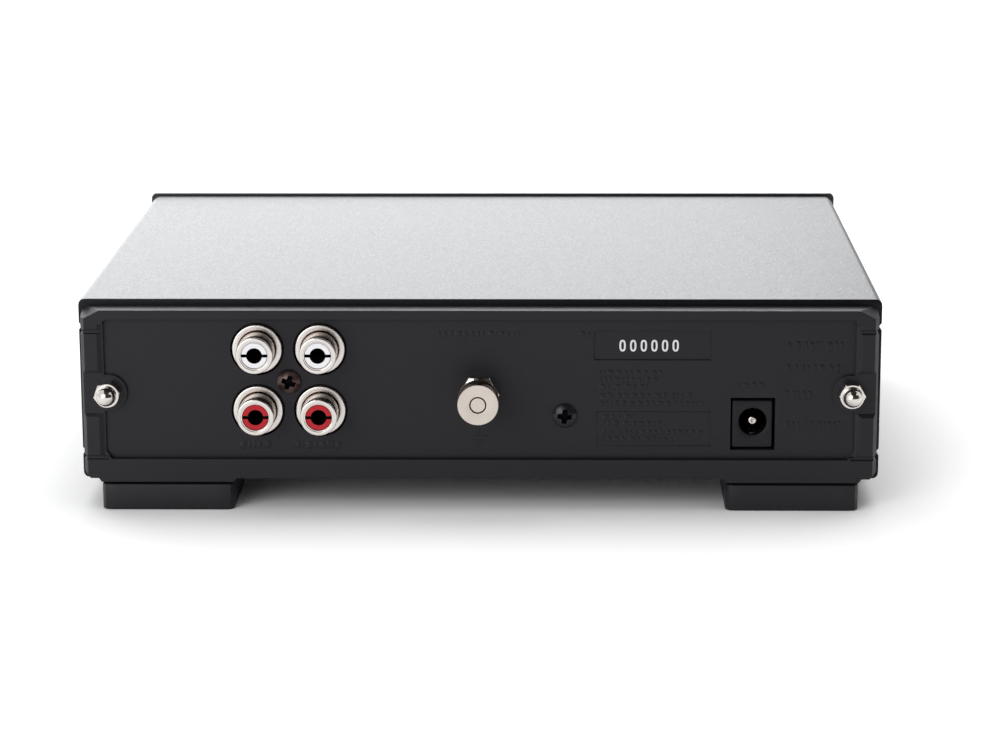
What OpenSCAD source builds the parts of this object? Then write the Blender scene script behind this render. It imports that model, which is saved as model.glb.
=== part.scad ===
// Slim desktop phono preamp: an extruded sleeve closed by a front fascia and a moulded rear panel,
// drawn together by two long tie rods. The rear panel faces +Y and the fascia faces -Y.
// The origin is on the surface that the feet stand on, under the middle of the overall box.

/* [Case] */
// Width of the front fascia, the widest piece
fascia_w = 180; // [172:0.5:190]
// Height of the front fascia
fascia_h = 42.1; // [41.6:0.1:47.2]
// Thickness of the fascia's front plate
fascia_t = 2; // [1.6:0.1:4]
// Corner radius of the fascia
fascia_r = 1.3; // [0.8:0.1:2.4]
// How far the sleeve's sides lie inside the fascia's edge
sleeve_step = 0.9; // [0.6:0.1:1.6]
// How far the sleeve's top and bottom lie inside the fascia's edge
sleeve_drop = 0.6; // [0.3:0.1:1.2]
// Length of the extruded sleeve
sleeve_l = 134; // [126:1:160]
// Wall of the sleeve
sleeve_wall = 2; // [1.8:0.1:2.4]
// Outer corner radius of the sleeve
sleeve_r = 1.5; // [0.8:0.1:2]
// Depth of the V-grooves along the sleeve's sides
groove_depth = 0.7; // [0.4:0.05:0.9]
// Height of a V-groove at the surface
groove_h = 1.6; // [1.4:0.1:2.4]
// Height of each V-groove above or below the middle
groove_rise = 14.3; // [12:0.1:14.8]
// How far the board guides stand in from the sleeve's sides
guide_d = 2; // [1.4:0.1:2.4]
// Thickness of one board guide
guide_t = 1.2; // [1:0.1:1.6]

/* [Lips] */
// Depth of the lips that enter the sleeve
lip_d = 4; // [3:0.1:5]
// Thickness of those lips
lip_t = 1.6; // [1.2:0.1:2]
// Gap between a lip and the sleeve
lip_gap = 0.15; // [0.1:0.05:0.25]

/* [Feet] */
// Width of a foot
foot_w = 29.5; // [20:0.5:36]
// Length of a foot
foot_d = 25; // [22:0.5:34]
// Height of a foot
foot_h = 5.9; // [5:0.1:9]
// Distance from the sleeve's side to a foot
foot_inset = 4.9; // [4:0.1:10]
// Radius of a foot's upright corners
foot_r = 1.8; // [1:0.1:2.5]
// Bevel along a foot's lower edge
foot_bevel = 0.7; // [0.3:0.1:1]
// Gap between a front foot and the fascia
foot_front_gap = 0.5; // [0.3:0.1:4]

/* [Rear panel] */
// How far the rear panel stands out of the sleeve
rear_t = 6; // [5.5:0.1:7]
// Step from the sleeve's sides in to the rear panel
rear_side_step = 1.05; // [0.8:0.05:1.3]
// Step from the sleeve's top and bottom in to the rear panel
rear_edge_step = 1.35; // [1.1:0.05:1.6]
// Depth of the sunken field
field_depth = 1.5; // [1:0.1:1.8]
// Thickness of the wall behind the field
panel_wall = 2.5; // [2:0.1:2.8]
// Width of the raised land at each side
land_w = 3.75; // [3:0.05:4.2]
// Width of the slope from the land down to the ledge
land_slope = 1; // [0.5:0.1:1.5]
// Width of the ledge between that slope and the field
ledge_w = 0.35; // [0.2:0.05:0.6]
// Width of the bevel along the land's outer edge
land_bevel = 0.95; // [0.4:0.05:1.2]
// Depth of that bevel
land_bevel_d = 1.5; // [0.7:0.1:2]
// Width of the cut across the field's lower corners
field_corner = 1.3; // [0.6:0.1:2]
// Height of the raised rail along the top
rail_top = 2.1; // [1.6:0.05:2.4]
// Height of the raised rail along the bottom
rail_bottom = 4.45; // [3.6:0.05:4.5]
// Depth of the lowered block around each nut
block_depth = 0.7; // [0.3:0.05:0.9]
// Half the height of the lowered block's floor
block_half = 4.5; // [4:0.05:6]
// Height of the ramp at each end of the lowered block
block_ramp = 0.85; // [0.5:0.05:2]
// Radius of the boss under each nut
nut_boss_r = 4.2; // [4:0.1:4.6]
// Gap between the rear panel's tab and the foot below
tab_gap = 0.5; // [0.3:0.05:0.8]
// Bevel at the rear panel's lower corners
corner_bevel = 1.5; // [0.8:0.1:2]
// Width of the number plate's recess
plate_w = 25.8; // [20:0.1:30]
// Height of the number plate's recess
plate_h = 6.5; // [5:0.1:8]
// Depth of the number plate's recess
plate_depth = 0.4; // [0.2:0.05:0.8]
// Sideways place of the number plate
plate_x = -38.3; // [-42:0.1:-34]
// Height of the number plate above the middle
plate_rise = 11; // [9:0.1:12]

/* [Tie rods] */
// Distance from the sleeve's side to a tie rod
rod_inset = 6.95; // [6.6:0.05:7.5]
// Height of the tie rods above the middle
rod_rise = 0.3; // [-0.5:0.1:0.5]
// Diameter of a tie rod
rod_dia = 3; // [2.5:0.1:3.4]
// Width across the flats of a domed nut
dome_nut_af = 5.3; // [5.3:0.1:6.5]
// Height of a domed nut's hexagon
dome_nut_hex = 3; // [2.4:0.1:3.6]
// Overall height of a domed nut
dome_nut_h = 6; // [5.4:0.1:7.4]
// Diameter of a domed nut's dome
dome_dia = 4.2; // [3.9:0.1:5.2]
// How far the domed nut at the sockets' side is turned
dome_turn = 12; // [0:1:30]

/* [Circuit board] */
// Thickness of the board
board_t = 1.6; // [1.2:0.1:2]
// Height of the board over the sleeve's inner floor
board_rise = 4.7; // [3.6:0.1:5]

/* [Phono sockets] */
// Sideways place of the socket block
rca_x = 42.1; // [38:0.05:46]
// Distance between neighbouring sockets
rca_pitch = 13.9; // [13.5:0.1:14.1]
// Height of the lower row above the board
rca_rise = 8.35; // [7:0.05:8.5]
// Diameter of a socket's barrel
barrel_dia = 8.2; // [8:0.05:8.4]
// Diameter of the barrel's bore
barrel_bore = 5.8; // [5.6:0.05:6.2]
// Reach of a barrel beyond the field
barrel_reach = 7; // [5:0.1:9]
// Diameter of the flange around a barrel
flange_dia = 11; // [10.4:0.1:11.4]
// Thickness of that flange
flange_t = 1.2; // [1:0.1:1.5]
// Diameter of the bore for a plug's pin
pin_bore = 3.3; // [3.2:0.05:3.4]
// Width of the slot across an insulator
insulator_slot = 0.42; // [0.3:0.02:0.6]
// Depth of the socket block behind the panel
block_d = 11; // [10:0.5:13]
// How far the block's screw lies under the middle of the four sockets
screw_drop = 0.35; // [0:0.05:0.6]

/* [Ground post] */
// Height of the ground post above the middle
post_rise = 0.1; // [-1:0.1:1]
// Diameter of the ground stud
stud_dia = 3.6; // [3.5:0.1:4.2]
// Width across the flats of the outer nut
post_nut_af = 7.9; // [7:0.1:9]
// Thickness of the outer nut
post_nut_t = 2; // [1.6:0.1:3]
// Free space between the outer nut and the thumb nut's washer
post_gap = 3.1; // [3:0.1:5]
// Thickness of the thumb nut's washer
thumb_washer_t = 0.8; // [0.6:0.1:1]
// Diameter of the thumb nut
thumb_dia = 9.1; // [8:0.1:11]
// Thickness of the thumb nut
thumb_t = 5.2; // [4:0.1:7]
// Width across the flats of the inner nut
inner_nut_af = 7; // [6.4:0.1:8]
// Thickness of the inner nut
inner_nut_t = 3.2; // [2.4:0.1:3.6]

/* [Power socket] */
// Distance from the sleeve's side to the power socket's middle
dc_inset = 28.5; // [25:0.1:33]
// Width of the power socket's body
dc_w = 8.8; // [8.4:0.1:9.4]
// Height of the power socket's body
dc_h = 10.8; // [10.2:0.1:11.4]
// Length of the power socket's body
dc_l = 14; // [12:0.5:16]
// Height of the power socket's hole above the board
dc_rise = 5.8; // [5.4:0.1:6.2]
// Diameter of the power socket's hole
dc_hole = 6.2; // [5.8:0.1:6.4]
// Diameter of the power socket's pin
dc_pin = 2; // [1.6:0.1:2.5]
// Gap between the socket and its opening
dc_gap = 0.5; // [0.3:0.05:0.7]
// How far the socket's face lies behind the field
dc_sink = 0.6; // [0:0.1:1]

/* [Screws] */
// Diameter of a panel screw's head
screw_head = 5.3; // [4.6:0.1:5.8]
// Height of a panel screw's head
screw_head_h = 1.7; // [1.2:0.1:2.4]
// Diameter of a panel screw's shank
screw_dia = 2.9; // [2.4:0.1:3.2]
// Sideways place of the bracket's screw
bracket_x = -18.95; // [-22:0.05:-15]
// Height of the bracket's screw above the board
bracket_rise = 7.3; // [6:0.1:9]

/* [Power button] */
// Distance from the sleeve's side to the power button's middle
button_inset = 29.1; // [25:0.1:39]
// Height of the power button above the board
button_rise = 7.8; // [7.2:0.1:9]
// Diameter of the power button
button_dia = 8; // [7:0.5:9]
// How far the button stands out of the fascia
button_proud = 3.2; // [3.1:0.1:5]
// Gap round the button
button_gap = 0.3; // [0.3:0.05:0.6]
// Wall of the tube that guides the button
button_tube_wall = 1.2; // [1:0.1:1.4]
// Distance from the button to the light pipe
lamp_spacing = 12; // [10.5:0.5:16]
// Diameter of the light pipe
lamp_dia = 3; // [2:0.1:4]
// Travel of the power button
button_travel = 3; // [2:0.1:3]
// Length of the switch's body
switch_l = 18; // [14:0.5:22]
// Width of the switch's body
switch_w = 12; // [10:0.5:14]
// Distance from the fascia to the switch
switch_set_back = 14; // [12:0.5:20]

/* [Components] */
// Diameter of a reservoir capacitor
reservoir_dia = 12.5; // [10:0.5:14]
// Height of a reservoir capacitor
reservoir_h = 25; // [16:0.5:26]
// Diameter of a coupling capacitor
coupling_dia = 8; // [6:0.5:9]
// Height of a coupling capacitor
coupling_h = 12; // [9:0.5:16]
// Length of a film capacitor
film_l = 18; // [13:0.5:18]
// Width of a film capacitor
film_w = 8; // [5:0.5:8.5]
// Height of a film capacitor
film_h = 14; // [9:0.5:18]
// Width of an amplifier chip's body
chip_w = 6.4; // [6:0.1:7]
// Length of an amplifier chip's body
chip_l = 10; // [9.4:0.1:10.4]
// Pitch of the leads of chips and regulators
lead_pitch = 2.54; // [2.5:0.02:2.54]
// Diameter of a resistor's body
resistor_dia = 2.3; // [1.8:0.1:3]
// Length of a resistor's body
resistor_l = 6.3; // [5:0.1:6.6]
// Width of a heat sink
sink_w = 18; // [12:0.5:20]
// Depth of a heat sink's fins
fin_d = 8; // [5:0.5:10]
// Height of a heat sink
sink_h = 22; // [20:0.5:25]
// Width of the muting relay
relay_w = 20; // [16:0.5:22]
// Height of the muting relay
relay_h = 10; // [8:0.5:12]

/* [Hidden] */
$fn = 48;
EPS = 0.01;
FIT = 0.05;        // radial clearance of a seated pin or thread
RUN = 0.08;        // radial clearance of a sliding pin
SEAT = 0.1;        // clearance of a seated flat piece
CLEAR = 0.15;      // radial clearance of a hole that a screw, rod or stud passes through
CUT = 20;          // long enough to cut past any wall

sleeve_w = fascia_w - 2 * sleeve_step;
sleeve_h = fascia_h - 2 * sleeve_drop;
inner_w = sleeve_w - 2 * sleeve_wall;
inner_h = sleeve_h - 2 * sleeve_wall;
z_mid = foot_h + sleeve_h / 2;
board_bottom = foot_h + sleeve_wall + board_rise;
board_top = board_bottom + board_t;
board_w = inner_w - 2 * SEAT;

thumb_back = post_nut_t + post_gap + thumb_washer_t;
post_reach = thumb_back + thumb_t;
total_d = button_proud + fascia_t + sleeve_l + rear_t + post_reach - field_depth;
y_button = -total_d / 2;
y_fascia = y_button + button_proud;
y_rim_front = y_fascia + fascia_t;
y_rim = y_rim_front + sleeve_l;
y_face = y_rim + rear_t;
y_field = y_face - field_depth;
y_wall = y_field - panel_wall;
y_board_front = y_rim_front + 2 * SEAT;
y_board_rear = y_rim - 2 * SEAT;
board_l = y_board_rear - y_board_front;

rear_half_w = sleeve_w / 2 - rear_side_step;
rear_top = foot_h + sleeve_h - rear_edge_step;
rear_bottom = foot_h + rear_edge_step;
field_half_w = rear_half_w - land_w;
field_wall_x = field_half_w - land_slope - ledge_w;
field_top = rear_top - rail_top;
field_bottom = rear_bottom + rail_bottom;
foot_outer = sleeve_w / 2 - foot_inset;
foot_inner = foot_outer - foot_w;
tab_slope = 0.6;
dc_x = dc_inset - sleeve_w / 2;
button_x = button_inset - sleeve_w / 2;
pocket_margin = 0.8;       // how far the pocket behind the field stays inside the field's edge
facet_tilt = 31;           // slope of the facet across each upper corner
facet_turn = 30;           // and how far it turns towards the rear
facet_in = 0.95;           // where it meets the sleeve, in from the panel's side
land_groove_h = 1;         // height of the channel across a land, at the face
land_groove_floor = 0.7;   // and at its floor
land_groove_depth = 0.45;
ledge_top = 1.15;          // how far the ledge's ends stay inside the field's top and bottom
ledge_bottom = 0.55;
corner_slant = 1.3;        // height of the cut across a lower corner, in widths
corner_top = 0.4;          // cut across the field's upper corners, in widths of the lower one

rod_x = sleeve_w / 2 - rod_inset;
rod_z = z_mid + rod_rise;
nut_seat = y_face - block_depth;
rod_hole = rod_dia + 2 * CLEAR;
rod_end = 1;               // how far a rod's front end stays behind the fascia's boss
dome_bore_end = 0.2;       // how far a domed nut's bore ends short of the dome's middle
lip_r = 0.6;
guide_room = 0.3;
boss_d = 10;               // length of the fascia's bosses for the tie rods
boss_r = 4.2;

row_z = [board_top + rca_rise, board_top + rca_rise + rca_pitch];
column_x = [rca_x - rca_pitch / 2, rca_x + rca_pitch / 2];
block_screw_z = board_top + rca_rise + rca_pitch / 2 - screw_drop;
flange_gap = 0.4;          // gap round a socket's flange
flange_hole = flange_dia + 2 * flange_gap;
flange_front = y_field + 0.3;
block_w = rca_pitch + flange_dia + 2;
block_top = field_top - pocket_margin - SEAT;
tip_y = y_field + barrel_reach;
barrel_root = 7;           // how far a barrel goes in behind the wall
contact_tail = 2;          // how far a contact passes the barrel's end
barrel_back = y_wall - barrel_root;
insulator_front = tip_y - 0.2;
slot_depth = 0.8;
mouth = 1.4;               // depth of an insulator's plain hole in front of the contact
contact_wall = 0.4;
contact_back = barrel_back - contact_tail;
contact_end = 0.8;         // thickness of a contact's closed end
insulator_dia = barrel_bore - 2 * FIT;
screw_thread_l = 7;
screw_end = 0.8;           // how far a screw's tip passes a sheet that it is cut into

post_z = z_mid + post_rise;
dc_z = board_top + dc_rise;
dc_face = y_field - dc_sink;
dc_depth = 9.5;
bracket_z = board_top + bracket_rise;
bracket_t = 1.5;
bracket_w = 11;
bracket_foot = 12;
bracket_over = 4;          // height of the bracket above its screw

button_z = board_top + button_rise;
crown_r = 0.8 * screw_head;    // sphere that domes a screw's head
cross_w = 0.52 * screw_head;
cross_depth = 0.6 * screw_head_h;
cross_t = 0.75;
lamp_x = button_x + lamp_spacing;
button_cap_l = 4;
stem_dia = 4;
button_flange = 1;         // width and thickness of the collar behind the fascia
button_seat = 0.3;         // gap between that collar and the fascia
stem_grip = 5;             // length of the stem inside the switch
switch_front = y_rim_front + switch_set_back;
switch_h = button_rise + switch_w / 2;
button_tube_r = button_dia / 2 + button_flange + button_gap;
lamp_body_dia = 3;
lamp_body_l = 4;
lamp_flange = 0.4;         // width of the lamp's flange
lamp_flange_t = 1;
lead_t = 0.5;
pipe_flange = 1;           // width of the light pipe's flange
pipe_flange_t = 2;
pipe_proud = 0.3;

// Places on the board, as shares of its width from its middle and of its length from its rear edge
can_y = y_board_rear - 0.285 * board_l;          // row of round capacitors
can_bead = 0.5;
can_bead_z = 1.8;
can_gap = 3.5;
reservoir_count = 3;
reservoir_pitch = reservoir_dia + can_gap;
reservoir_x = -0.218 * board_w;
coupling_count = 4;
coupling_pitch = coupling_dia + can_gap;
coupling_x = 0.08 * board_w;
film_count = 4;
film_x = 0.057 * board_w;
film_y = y_board_rear - 0.626 * board_l;
chip_x = [0.0915 * board_w, 0.23 * board_w];
chip_y = y_board_rear - 0.7285 * board_l;
chip_t = 3.2;
chip_rise = 0.8;
chip_leads = 4;
chip_lead_w = 1;
resistor_x = [0.345 * board_w, 0.402 * board_w];
resistor_y = y_board_rear - 0.8035 * board_l;
resistor_rows = 6;
resistor_pitch = resistor_dia + can_gap;
resistor_lead = 0.6;
resistor_reach = 1.2;            // how far a lead stands out of the resistor's body
regulator_x = [-0.287 * board_w, -0.1375 * board_w];
regulator_y = y_board_rear - 0.5305 * board_l;
regulator_w = 10;
regulator_t = 4.4;
regulator_h = 15;
regulator_rise = 4;
regulator_lead_w = 0.8;
sink_t = 2;
fin_t = 0.8;
fin_pitch = 2;
relay_y = y_board_rear - 0.203 * board_l;
relay_l = 10;

// ---- helpers -------------------------------------------------------------------------------------

// An outline drawn in X and Z, made solid from y0 to y1
module along_y(y0, y1) {
    translate([0, y1, 0]) rotate([90, 0, 0]) linear_extrude(y1 - y0) children();
}

// A rectangle in X and Z centred on x, z, with round corners of true arcs
module round_rect(w, h, r) {
    square([w - 2 * r, h], center = true);
    square([w, h - 2 * r], center = true);
    for (sx = [-1, 1], sz = [-1, 1]) translate([sx * (w / 2 - r), sz * (h / 2 - r)]) circle(r);
}

// A round bar along Y from y0 to y1
module bar_y(x, z, d, y0, y1) {
    translate([x, y1, z]) rotate([90, 0, 0]) cylinder(d = d, h = y1 - y0);
}

// A hexagonal bar along Y, turned by turn degrees
module hex_y(x, z, af, y0, y1, turn = 0) {
    translate([x, y1, z]) rotate([90, turn, 0]) cylinder(d = af / cos(30), h = y1 - y0, $fn = 6);
}

// A box from one corner to the other
module box(low, high) {
    translate(low) cube(high - low);
}

module both_sides() {
    children();
    mirror([1, 0, 0]) children();
}

// Ring that enters the sleeve from y0 to y1, with room for the board and its guides
module lip(y0, y1) {
    slot_over = guide_t + 2 * SEAT + guide_room;
    difference() {
        along_y(y0, y1) translate([0, z_mid]) difference() {
            round_rect(inner_w - 2 * lip_gap, inner_h - 2 * lip_gap, lip_r);
            square([inner_w - 2 * lip_gap - 2 * lip_t, inner_h - 2 * lip_gap - 2 * lip_t], center = true);
        }
        both_sides() box([inner_w / 2 - guide_d - 2 * lip_t, y0 - 1, board_bottom - slot_over],
            [inner_w / 2 + 1, y1 + 1, board_top + slot_over]);
    }
}

// Pan-head screw along Y: its domed head stands on y_seat and its shank runs inwards
module panel_screw(x, z, y_seat, shank_l, turn) {
    bar_y(x, z, screw_dia - 2 * FIT, y_seat - shank_l, y_seat + EPS);
    difference() {
        intersection() {
            bar_y(x, z, screw_head, y_seat, y_seat + screw_head_h);
            translate([x, y_seat + screw_head_h - crown_r, z]) sphere(r = crown_r);
        }
        for (a = [0, 90]) translate([x, y_seat + screw_head_h, z]) rotate([0, turn + a, 0])
            cube([cross_w, 2 * cross_depth, cross_t], center = true);
    }
}

// ---- case ----------------------------------------------------------------------------------------

module sleeve_outline() {
    difference() {
        round_rect(sleeve_w, sleeve_h, sleeve_r);
        for (s = [-1, 1], t = [-1, 1]) translate([s * sleeve_w / 2, t * groove_rise]) polygon([
            [s * EPS, groove_h / 2], [-s * groove_depth, 0], [s * EPS, -groove_h / 2]]);
    }
}

module case_sleeve() {
    color([0.09, 0.09, 0.1]) difference() {
        along_y(y_rim_front, y_rim) translate([0, z_mid]) sleeve_outline();
        difference() {
            along_y(y_rim_front - 1, y_rim + 1) translate([0, z_mid])
                square([inner_w, inner_h], center = true);
            both_sides() for (z = [board_bottom - SEAT - guide_t, board_top + SEAT])
                box([inner_w / 2 - guide_d, y_rim_front - 2, z], [inner_w / 2 + 1, y_rim + 2, z + guide_t]);
        }
        for (p = foot_places()) translate([p[0], p[1], foot_h - 1])
            cylinder(d = screw_dia, h = sleeve_wall + 2);
    }
}

module front_fascia() {
    color([0.1, 0.1, 0.11]) difference() {
        union() {
            along_y(y_fascia, y_rim_front) translate([0, z_mid]) round_rect(fascia_w, fascia_h, fascia_r);
            lip(y_rim_front - EPS, y_rim_front + lip_d);
            both_sides() bar_y(rod_x, rod_z, 2 * boss_r, y_rim_front - EPS, y_rim_front + boss_d);
            bar_y(button_x, button_z, 2 * (button_tube_r + button_tube_wall), y_rim_front - EPS,
                switch_front - 2 * SEAT);
        }
        both_sides() bar_y(rod_x, rod_z, rod_dia + 2 * FIT, y_rim_front, y_rim_front + boss_d + 1);
        bar_y(button_x, button_z, button_dia + 2 * button_gap, y_fascia - 1, y_rim_front + 1);
        bar_y(button_x, button_z, 2 * button_tube_r, y_rim_front, switch_front + 1);
        bar_y(lamp_x, button_z, lamp_dia + 2 * FIT, y_fascia - 1, y_rim_front + 1);
    }
}

module rear_outline() {
    zb = rear_bottom;
    zt = foot_h + tab_gap;
    polygon([for (s = [1, -1]) each let (half = [[s * rear_half_w, rear_top],
            [s * rear_half_w, zb + corner_bevel], [s * (rear_half_w - corner_bevel), zb],
            [s * (foot_outer + tab_slope), zb], [s * foot_outer, zt], [s * foot_inner, zt],
            [s * (foot_inner - tab_slope), zb]])
        [for (i = [0:len(half) - 1]) half[s > 0 ? i : len(half) - 1 - i]]]);
}

// The sunken field, with a cut across each corner
module field_cut() {
    low = field_corner;
    high = corner_top * field_corner;
    along_y(y_field, y_face + 1) polygon([
        [field_wall_x, field_bottom + corner_slant * low], [field_wall_x, field_top - high],
        [field_wall_x - high, field_top], [high - field_wall_x, field_top],
        [-field_wall_x, field_top - high], [-field_wall_x, field_bottom + corner_slant * low],
        [low - field_wall_x, field_bottom], [field_wall_x - low, field_bottom]]);
}

// The slope from a land down to the ledge beside the field
module land_slope_cut() {
    reach = 5;
    grow = land_slope * reach / block_depth;
    translate([0, 0, field_bottom + ledge_bottom])
        linear_extrude(field_top - ledge_top - field_bottom - ledge_bottom) polygon([
            [field_wall_x - 1, nut_seat], [field_half_w - land_slope, nut_seat],
            [field_half_w + grow, y_face + reach], [field_wall_x - 1, y_face + reach]]);
}

// Lowered block in each land, with a ramp at each end
module block_cut() {
    reach = 5;
    grow = block_ramp * reach / block_depth;
    translate([rod_x - nut_boss_r, 0, 0]) rotate([90, 0, 90]) linear_extrude(CUT) polygon([
        [nut_seat, rod_z - block_half], [nut_seat, rod_z + block_half],
        [y_face + reach, rod_z + block_half + block_ramp + grow],
        [y_face + reach, rod_z - block_half - block_ramp - grow]]);
}

// Grooves that carry the sleeve's grooves on round the panel's edge
module panel_grooves() {
    for (t = [-1, 1]) {
        z = z_mid + t * groove_rise;
        along_y(y_rim - 1, y_face + 1) polygon([[rear_half_w + EPS, z + groove_h / 2],
            [rear_half_w - groove_depth, z], [rear_half_w + EPS, z - groove_h / 2]]);
        translate([field_half_w - 2, 0, 0]) rotate([90, 0, 90]) linear_extrude(CUT) polygon([
            [y_face + EPS, z + land_groove_h / 2],
            [y_face - land_groove_depth, z + land_groove_floor / 2],
            [y_face - land_groove_depth, z - land_groove_floor / 2],
            [y_face + EPS, z - land_groove_h / 2]]);
    }
}

module edge_cuts() {
    // bevel along the land's outer edge
    translate([0, 0, rear_bottom - 2]) linear_extrude(sleeve_h) polygon([
        [rear_half_w - land_bevel, y_face + EPS], [rear_half_w + EPS, y_face - land_bevel_d],
        [rear_half_w + 2, y_face - land_bevel_d], [rear_half_w + 2, y_face + 2],
        [rear_half_w - land_bevel, y_face + 2]]);
    // facet across the upper corner
    translate([rear_half_w - facet_in, y_rim, rear_top]) rotate([0, facet_tilt, facet_turn])
        translate([-CUT / 2, -CUT / 2, 0]) cube([CUT, CUT, CUT]);
}

module rear_panel() {
    pocket_half = field_half_w + pocket_margin - land_slope;
    color([0.12, 0.12, 0.13]) difference() {
        union() {
            difference() {
                union() {
                    along_y(y_rim, y_face) rear_outline();
                    lip(y_rim - lip_d, y_rim + EPS);
                }
                field_cut();
                both_sides() {
                    block_cut();
                    land_slope_cut();
                    panel_grooves();
                    edge_cuts();
                }
                box([-pocket_half, y_rim - 1, field_bottom - pocket_margin],
                    [pocket_half, y_wall, field_top - pocket_margin]);
            }
            both_sides() bar_y(rod_x, rod_z, 2 * nut_boss_r, y_rim, nut_seat);
        }
        both_sides() bar_y(rod_x, rod_z, rod_hole, y_rim - 1, y_face + 1);
        for (x = column_x, z = row_z) bar_y(x, z, flange_hole, y_wall - 1, y_face + 1);
        bar_y(rca_x, block_screw_z, screw_dia + 2 * CLEAR, y_wall - 1, y_face + 1);
        bar_y(bracket_x, bracket_z, screw_dia + 2 * CLEAR, y_wall - 1, y_face + 1);
        bar_y(0, post_z, stud_dia + 2 * CLEAR, y_wall - 1, y_face + 1);
        box([dc_x - dc_w / 2 - dc_gap, y_wall - 1, board_top - dc_gap],
            [dc_x + dc_w / 2 + dc_gap, y_face + 1, board_top + dc_h + dc_gap]);
        box([plate_x - plate_w / 2, y_field - plate_depth, z_mid + plate_rise - plate_h / 2],
            [plate_x + plate_w / 2, y_field + 1, z_mid + plate_rise + plate_h / 2]);
    }
}

module tie_rods() {
    color([0.62, 0.62, 0.6]) both_sides()
        bar_y(rod_x, rod_z, rod_dia, y_rim_front + rod_end,
            nut_seat + dome_nut_h - dome_dia / 2 - 2 * dome_bore_end);
}

module domed_nuts() {
    centre = dome_nut_h - dome_dia / 2;
    color([0.8, 0.78, 0.75]) for (side = [[rod_x, dome_turn], [-rod_x, 0]]) difference() {
        union() {
            intersection() {
                hex_y(side[0], rod_z, dome_nut_af, nut_seat, nut_seat + dome_nut_hex, side[1]);
                translate([side[0], nut_seat, rod_z]) rotate([-90, 0, 0]) cylinder(
                    d1 = dome_nut_af / cos(30) + 2 * dome_nut_hex, d2 = dome_nut_af, h = dome_nut_hex);
            }
            bar_y(side[0], rod_z, dome_dia, nut_seat + dome_nut_hex - EPS, nut_seat + centre);
            translate([side[0], nut_seat + centre, rod_z]) sphere(d = dome_dia);
        }
        bar_y(side[0], rod_z, rod_dia + 2 * FIT, nut_seat - 1, nut_seat + centre - dome_bore_end);
    }
}

// ---- feet ----------------------------------------------------------------------------------------

function foot_places() = [for (s = [-1, 1], y = [y_rim_front + foot_front_gap + foot_d / 2,
    y_face - foot_d / 2]) [s * (foot_outer + foot_inner) / 2, y]];
foot_head_d = 3;           // depth of the recess for the screw's head
foot_chamfer = [[0, 1], [0.3, 0.3], [1, 0]];    // height and inset of its lower edge, in bevels

module feet() {
    color([0.07, 0.07, 0.075]) for (p = foot_places()) translate([p[0], p[1], 0]) difference() {
        for (step = foot_chamfer) let (rise = step[0] * foot_bevel, inset = step[1] * foot_bevel)
            translate([0, 0, rise]) linear_extrude(foot_h - rise)
                round_rect(foot_w - 2 * inset, foot_d - 2 * inset, foot_r);
        translate([0, 0, -1]) cylinder(d = screw_head + 4 * CLEAR, h = foot_head_d + 1);
        cylinder(d = screw_dia + 2 * CLEAR, h = foot_h + 1);
    }
}

module foot_screws() {
    top = foot_h + sleeve_wall + screw_end;
    color([0.3, 0.3, 0.32]) for (p = foot_places()) translate([p[0], p[1], foot_head_d]) difference() {
        union() {
            translate([0, 0, -screw_head_h])
                cylinder(d1 = screw_head - 2 * foot_bevel, d2 = screw_head, h = screw_head_h);
            cylinder(d = screw_dia - 2 * FIT, h = top - foot_head_d);
        }
        for (a = [0, 90]) translate([0, 0, -screw_head_h]) rotate([0, 0, a])
            cube([cross_w, cross_t, 2 * cross_depth], center = true);
    }
}

// ---- board and sockets ---------------------------------------------------------------------------

module circuit_board() {
    color([0.05, 0.3, 0.15])
        box([-board_w / 2, y_board_front, board_bottom], [board_w / 2, y_board_rear, board_top]);
}

module socket_block() {
    low = [rca_x - block_w / 2, y_wall - block_d, board_top];
    high = [rca_x + block_w / 2, y_wall, block_top];
    color([0.06, 0.06, 0.06]) difference() {
        union() {
            box(low, high);
            for (x = column_x, z = row_z)
                bar_y(x, z, flange_dia + 2 * SEAT, y_wall - EPS, flange_front - flange_t);
        }
        for (x = column_x, z = row_z) {
            bar_y(x, z, barrel_dia + 2 * FIT, barrel_back, y_field + 1);
            bar_y(x, z, pin_bore + 2 * contact_wall + 2 * FIT, contact_back, y_wall);
        }
        bar_y(rca_x, block_screw_z, screw_dia, y_wall - screw_thread_l, y_wall + 1);
    }
}

module socket_barrels() {
    bevel = 0.35;
    color([0.8, 0.78, 0.75]) for (x = column_x, z = row_z) translate([x, 0, z]) rotate([-90, 0, 0])
        rotate_extrude() polygon([
            [barrel_bore / 2, barrel_back], [barrel_dia / 2, barrel_back],
            [barrel_dia / 2, flange_front - flange_t], [flange_dia / 2, flange_front - flange_t],
            [flange_dia / 2, flange_front], [barrel_dia / 2, flange_front],
            [barrel_dia / 2, tip_y - bevel], [barrel_dia / 2 - bevel, tip_y],
            [barrel_bore / 2 + bevel / 2, tip_y], [barrel_bore / 2, tip_y - bevel / 2]]);
}

module insulator(x, z) {
    front = insulator_front;
    difference() {
        translate([x, 0, z]) rotate([-90, 0, 0]) rotate_extrude() polygon([
            [pin_bore / 2 + contact_wall + FIT, barrel_back], [insulator_dia / 2, barrel_back],
            [insulator_dia / 2, front], [pin_bore / 2, front], [pin_bore / 2, front - mouth],
            [pin_bore / 2 + contact_wall + FIT, front - mouth]]);
        translate([x, front, z]) cube([barrel_bore, 2 * slot_depth, insulator_slot], center = true);
    }
}

module upper_insulators() {
    color([0.92, 0.92, 0.93]) for (x = column_x) insulator(x, row_z[1]);
}

module lower_insulators() {
    color([0.72, 0.1, 0.12]) for (x = column_x) insulator(x, row_z[0]);
}

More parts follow.
